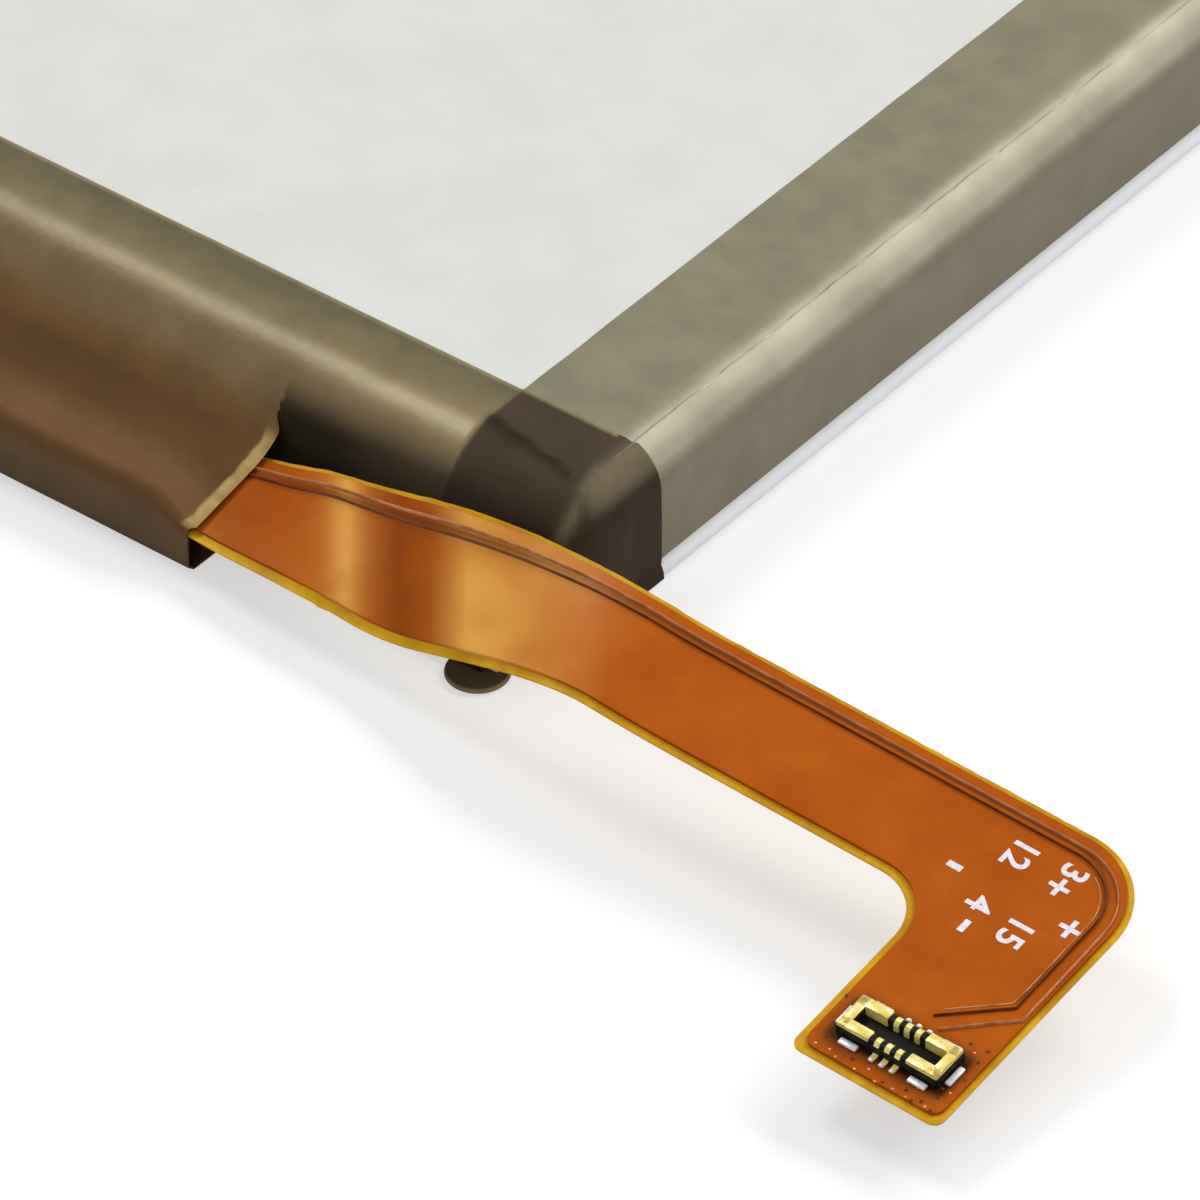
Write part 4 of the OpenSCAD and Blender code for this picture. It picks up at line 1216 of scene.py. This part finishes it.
def ink_mark(name, text, x, y, scale, turn_deg):
    """A mark as a thin mesh that lies on the lead and reads along the tail."""
    data = bpy.data.curves.new(name, "FONT")
    data.body, data.size, data.align_x, data.align_y = text, TEXT_SIZE * scale, "CENTER", "CENTER"
    data.extrude, data.offset = INK_T / 2, STROKE
    source = linked(name, data)
    mesh = plain_mesh(source)
    bpy.data.objects.remove(source)
    flat = np.array([v.co for v in mesh.vertices])
    middle = (flat.min(axis=0) + flat.max(axis=0)) / 2
    flat[:, :2] -= middle[:2]
    t = math.radians(turn_deg)
    across = flat[:, 0] * math.cos(t) - flat[:, 1] * math.sin(t)
    up = flat[:, 0] * math.sin(t) + flat[:, 1] * math.cos(t)
    px, py = x + up, y - across
    z = lead_height(px, py) + FILM_TOP + INK_T / 2 + flat[:, 2]
    for v, p in zip(mesh.vertices, zip(px, py, z)):
        v.co = [c * MM for c in p]
    return mesh


joined = bmesh.new()
for k, mark in enumerate(MARKS):
    joined.from_mesh(ink_mark("mark_%d" % k, *mark))
bmesh.ops.remove_doubles(joined, verts=joined.verts, dist=0.001 * MM)
bmesh.ops.recalc_face_normals(joined, faces=joined.faces)
dress(from_work("printed_marks", joined), ink_finish, "solder")

# %% [markdown]
# ## The header
# The header is smaller than a grain of rice: a black moulding with a hollow between two long
# walls, three gold contacts folded over each wall, and a larger power contact round each end.
# Everything is drawn about the header's own centre and then laid onto the tilted tail by one
# matrix. The signal contacts are alike, so Geometry Nodes sets one bent strip at each of six
# points.

# %% Place of the header
tilt_y, tilt_x = math.atan(FALL_OUT), math.atan(FALL_FWD * math.cos(math.atan(FALL_OUT)))
header_z = float(lead_height(header_x, header_y)) + FILM_TOP
turned = Matrix.Rotation(tilt_y, 4, "Y") @ Matrix.Rotation(tilt_x, 4, "X")
to_tail = Matrix.Translation(Vector((header_x, header_y, header_z)) * MM) @ turned
print("header centre", [round(v / MM, 3) for v in to_tail.translation])


def box_points(x0, x1, y0, y1, z0, z1):
    """The eight corners of a box, in the order that BOX_FACES counts on."""
    return [(x, y, z) for z in (z0, z1) for y in (y0, y1) for x in (x0, x1)]


BOX_FACES = [(0, 2, 3, 1), (4, 5, 7, 6), (0, 1, 5, 4), (2, 6, 7, 3), (0, 4, 6, 2), (1, 3, 7, 5)]


def boxes_piece(name, boxes, bevel_mm, segments=2):
    """Boxes with rounded edges as one object, drawn about the header's centre, then laid on the tail."""
    work = bmesh.new()
    for limits in boxes:
        corners = [work.verts.new(Vector(p) * MM) for p in box_points(*limits)]
        for f in BOX_FACES:
            work.faces.new([corners[i] for i in f])
    bmesh.ops.bevel(work, geom=work.edges[:], offset=bevel_mm * MM, segments=segments, affect="EDGES", profile=0.5)
    bmesh.ops.recalc_face_normals(work, faces=work.faces)
    for face in work.faces:
        face.smooth = True
    work.transform(to_tail)
    return from_work(name, work)


# %% Housing
HOUSING_H, FLOOR_T, END_T = 0.42, 0.12, 0.3
OVERLAP = 0.02
housing_finish, tree, shader = new_finish("black_moulding", Roughness=0.5)
shader.inputs["Specular IOR Level"].default_value = 0.12
tone = mixed(tree, speckle(tree, 10.0), (0.004, 0.004, 0.004, 1), (0.02, 0.02, 0.016, 1))
tree.links.new(tone, shader.inputs["Base Color"])
bumped(tree, shader, speckle(tree, 14.0), 0.004)
lx, wy = HEADER_L / 2 - CONTACT_T, HEADER_W / 2
# The moulding's skirt hides the contacts' outer legs up to just below their crowns
skirt_x, skirt_y, skirt_z = HEADER_L / 2 + 0.015, wy + CONTACT_T + 0.02, HOUSING_H - 0.1
housing = boxes_piece("header_moulding", [
    (-skirt_x, skirt_x, wy - OVERLAP, skirt_y, 0, skirt_z),
    (-skirt_x, skirt_x, -skirt_y, OVERLAP - wy, 0, skirt_z),
    (-skirt_x, OVERLAP - lx, -skirt_y, skirt_y, 0, skirt_z),
    (lx - OVERLAP, skirt_x, -skirt_y, skirt_y, 0, skirt_z),
    (-lx, lx, -wy, wy, 0, FLOOR_T),
    (-lx, lx, wy - WALL_T, wy, 0, HOUSING_H),
    (-lx, lx, -wy, -wy + WALL_T, 0, HOUSING_H),
    (-lx, -lx + END_T - CONTACT_T, -wy, wy, 0, HOUSING_H),
    (lx - END_T + CONTACT_T, lx, -wy, wy, 0, HOUSING_H),
], 0.02)
dress(housing, housing_finish, "housing_black", "header_housing")

# %% Gold and solder finishes
gold_finish = two_tones(
    "gold_plate", linear(250, 222, 98), linear(255, 245, 172), 6.0, 10.0, 0.003, Metallic=0.25, Roughness=0.24
)
solder_finish = two_tones(
    "bright_solder", linear(226, 226, 232), linear(252, 252, 252), 5.0, 8.0, 0.004, Metallic=0.25, Roughness=0.3
)

# %% Signal contacts
def contact_tree():
    """A copy of one strip at each point, turned round in the row nearer the tail's end."""
    made, source = new_tree("contact_row", {})
    line = add_node(made, "GeometryNodeObjectInfo", {})
    made.interface.new_socket("Strip", in_out="INPUT", socket_type="NodeSocketObject")
    made.links.new(source.outputs["Strip"], line.inputs["Object"])
    position = add_node(made, "GeometryNodeInputPosition")
    side = add_node(made, "ShaderNodeSeparateXYZ", {0: position.outputs[0]})
    sign = add_node(made, "ShaderNodeMath", {0: side.outputs["Y"], 1: 0.0}, operation="LESS_THAN")
    angle = add_node(made, "ShaderNodeMath", {0: sign.outputs[0], 1: math.pi}, operation="MULTIPLY")
    turn = add_node(made, "ShaderNodeCombineXYZ", {2: angle.outputs[0]})
    copies = add_node(made, "GeometryNodeInstanceOnPoints", {
        "Points": source.outputs["Geometry"], "Instance": line.outputs["Geometry"], "Rotation": turn.outputs[0],
    })
    close_tree(made, source, copies.outputs[0])
    return made


FOOT_L = 0.28
crown = HOUSING_H + CONTACT_T
wall_out, half_t = wy - ROW_GAP / 2, CONTACT_T / 2
wall_in = wall_out - WALL_T
strip_line = [
    (wall_out + FOOT_L + CONTACT_T, 0.03), (wall_out + CONTACT_T, 0.03),
    (wall_out + half_t, 0.1), (wall_out + half_t, HOUSING_H - 0.06),
    (wall_out - 0.05, crown - half_t), (wall_in + 0.05, crown - half_t),
    (wall_in - half_t, HOUSING_H - 0.06), (wall_in - half_t, FLOOR_T),
]
smooth_line = spaced(strip_line, 30)
for _ in range(3):
    smooth_line[1:-1] = (smooth_line[:-2] + 2 * smooth_line[1:-1] + smooth_line[2:]) / 4
half_w = CONTACT_W / 2
side_steps = np.linspace(-half_w, half_w, 5)
bulge = 0.02 * (1 - (side_steps / half_w) ** 2)
outer_side = inset(smooth_line, -half_t)
inner_side = inset(smooth_line, half_t)
upper = np.array([[(s, y, z + b) for s, b in zip(side_steps, bulge)] for y, z in outer_side])
lower = np.array([[(s, y, z) for s in side_steps] for y, z in inner_side])
strip = slab("contact_strip", upper, lower)
contact_points = [
    ((i - (ROW_COUNT - 1) / 2) * PITCH, s * ROW_GAP / 2, 0.0) for i in range(ROW_COUNT) for s in (-1, 1)
]
contacts = path_object("signal_contact_strips", contact_points, chained=False)
grown(contacts, contact_tree(), {"Strip": strip, "Material": gold_finish})
contacts.data.transform(to_tail)
bpy.data.objects.remove(strip)
sharpen(contacts, 60)
dress(contacts, gold_finish, "contact_gold", "signal_contacts")

# %% Power contacts
GOLD_FOLD = 0.13


def power_piece(name, side, *replaced):
    """A gold cap round one end of the header: two arms over the long walls and a bar over the end."""
    x0, x1 = HEADER_L / 2 - POWER_L, HEADER_L / 2
    top = HOUSING_H + CONTACT_T
    boxes = []
    for s in (-1, 1):
        near, far = wy - WALL_T - CONTACT_T, wy + CONTACT_T
        y0, y1 = sorted((s * near, s * far))
        boxes.append((x0, x1, y0, y1, HOUSING_H - OVERLAP, top))
        y0, y1 = sorted((s * wy, s * far))
        boxes.append((x0, x1, y0, y1, top - GOLD_FOLD, top))
        y0, y1 = sorted((s * near, s * (near + CONTACT_T)))
        boxes.append((x0, x1 - END_T, y0, y1, FLOOR_T, top))
    boxes.append((x1 - END_T, x1, -wy - CONTACT_T, wy + CONTACT_T, HOUSING_H - OVERLAP, top))
    boxes.append((x1 - CONTACT_T, x1, -wy - CONTACT_T, wy + CONTACT_T, top - GOLD_FOLD, top))
    if side < 0:
        boxes = [(-b, -a, c, d, e, f) for a, b, c, d, e, f in boxes]
    made = boxes_piece(name, boxes, 0.018)
    dress(made, gold_finish, "contact_gold", *replaced)


power_piece("positive_power_contact", 1, "positive_contact")
power_piece("negative_power_contact", -1, "negative_contact")

# %% Solder
SOLDER_T, SOLDER_OFF, SOLDER_W, SIDE_HALF, END_HALF = 0.1, 0.06, 0.22, 0.3, 0.36
out = wy + CONTACT_T
fillets = []
for x in (-1, 1):
    centre = x * (HEADER_L - POWER_L) / 2
    for s in (-1, 1):
        y0, y1 = sorted((s * (out + SOLDER_OFF), s * (out + SOLDER_OFF + SOLDER_W)))
        fillets.append((centre - SIDE_HALF, centre + SIDE_HALF, y0, y1, 0.0, SOLDER_T))
    x0, x1 = sorted((x * (HEADER_L / 2 + SOLDER_OFF), x * (HEADER_L / 2 + 0.26)))
    fillets.append((x0, x1, -END_HALF, END_HALF, 0.0, SOLDER_T))
for x, y, _ in contact_points:
    foot = math.copysign(out + FOOT_L - 0.04, y)
    fillets.append((x - 0.07, x + 0.07, foot - 0.06, foot + 0.06, 0.0, SOLDER_T))
solder = boxes_piece("header_solder", fillets, 0.04, segments=3)
dress(solder, solder_finish, "solder", "contact_solder")

# %% [markdown]
# ## Vias and glints
# Near the tail's end small plated holes join the two copper layers. Under the cover film they show
# as dark dots with a glint of copper. Geometry Nodes sets one small domed disc on each point.

# %% Vias
def dot_tree():
    """A domed disc on each point, its radius and height named."""
    made, source = new_tree("plated_dots", {"Radius": 0.06 * MM, "Height": 0.012 * MM})
    ball = add_node(made, "GeometryNodeMeshUVSphere", {"Segments": 16, "Rings": 8, "Radius": 1.0})
    size = add_node(made, "ShaderNodeCombineXYZ", {
        0: source.outputs["Radius"], 1: source.outputs["Radius"], 2: source.outputs["Height"],
    })
    copies = add_node(made, "GeometryNodeInstanceOnPoints", {
        "Points": source.outputs["Geometry"], "Instance": ball.outputs[0], "Scale": size.outputs[0],
    })
    close_tree(made, source, copies.outputs[0])
    return made


def dots(name, places, radius, finish):
    made = path_object(name, on_lead(np.array(places), FILM_TOP).tolist(), chained=False)
    grown(made, dot_tree(), {"Radius": radius * MM, "Height": 0.012 * MM, "Material": finish})
    dress(made, finish, "flex_copper")


via_finish = trace_finish("via_under_film", (60, 24, 10), (92, 40, 16))
glint_finish = trace_finish("copper_glint", (206, 120, 62), (242, 178, 120))
dots("vias", [
    (51.34, -52.5), (51.88, -52.45), (51.89, -52.91), (50.88, -54.8), (51.45, -54.89),
    (51.74, -54.51), (51.83, -55.0), (50.2, -54.95), (47.6, -53.1), (49.05, -54.78),
    (51.62, -54.2), (51.2, -55.02), (48.0, -54.55), (51.95, -53.6),
], 0.065, via_finish)
dots("copper_glints", [
    (48.35, -54.86), (48.62, -54.98), (49.3, -55.02), (50.55, -54.98), (51.1, -54.55),
    (51.62, -54.97), (51.6, -52.7), (47.9, -54.9), (49.62, -54.8), (50.0, -55.05),
    (51.9, -54.2), (51.0, -55.0),
], 0.045, glint_finish)

# %% [markdown]
# ## Inner pieces
# The board, its parts, the tabs and the foam sit under the tape, where nothing shows from outside.
# Their solids stay as they are, and each gets a quiet finish of its own kind, so that they look
# right if someone takes the tape off.

# %% Inner finishes
def plain_finish(name, dark, light, roughness, metallic=0.0, per_mm=3.0, bump_mm=0.003):
    """A finish whose bump follows its two tones."""
    return two_tones(name, dark, light, per_mm, per_mm, bump_mm, Roughness=roughness, Metallic=metallic)


nickel = plain_finish("rolled_nickel", linear(176, 172, 164), linear(196, 192, 184), 0.32, 1.0, 4.0)
aluminium = plain_finish("rolled_aluminium", linear(200, 202, 205), linear(222, 224, 226), 0.35, 1.0, 4.0)
milky = plain_finish("milky_seal_film", linear(226, 222, 208), linear(238, 236, 226), 0.45)
foam = plain_finish("dark_foam", linear(40, 40, 42), linear(64, 64, 66), 0.95, 0.0, 8.0, 0.02)
mask = plain_finish("green_solder_mask", linear(18, 74, 40), linear(26, 92, 50), 0.3)
moulded = plain_finish("moulded_chip", linear(20, 20, 21), linear(36, 36, 38), 0.6)
ceramic = plain_finish("fired_ceramic", linear(150, 118, 84), linear(176, 146, 108), 0.55)
amber_wrap = plain_finish("amber_wrap_film", linear(176, 96, 22), linear(206, 124, 36), 0.25)
laminate = plain_finish("stiffener_laminate", linear(92, 62, 36), linear(122, 84, 50), 0.5)
INNER = {
    "positive_tab": aluminium, "negative_tab": nickel,
    "positive_weld_plate": nickel, "negative_weld_plate": nickel,
    "positive_tab_film": milky, "negative_tab_film": milky, "terrace_foam": foam, "protection_board": mask,
    "power_switches": moulded, "protection_chip": moulded, "sense_resistor": moulded, "chip_resistors": moulded,
    "chip_fuse": ceramic, "chip_capacitors": ceramic, "thermistor": ceramic, "board_wrap": amber_wrap,
    "flex_solder": solder_finish, "flex_stiffener": laminate,
}
for name, finish in INNER.items():
    nodes[name].data.materials.clear()
    nodes[name].data.materials.append(finish)
print("inner nodes dressed:", len(INNER))
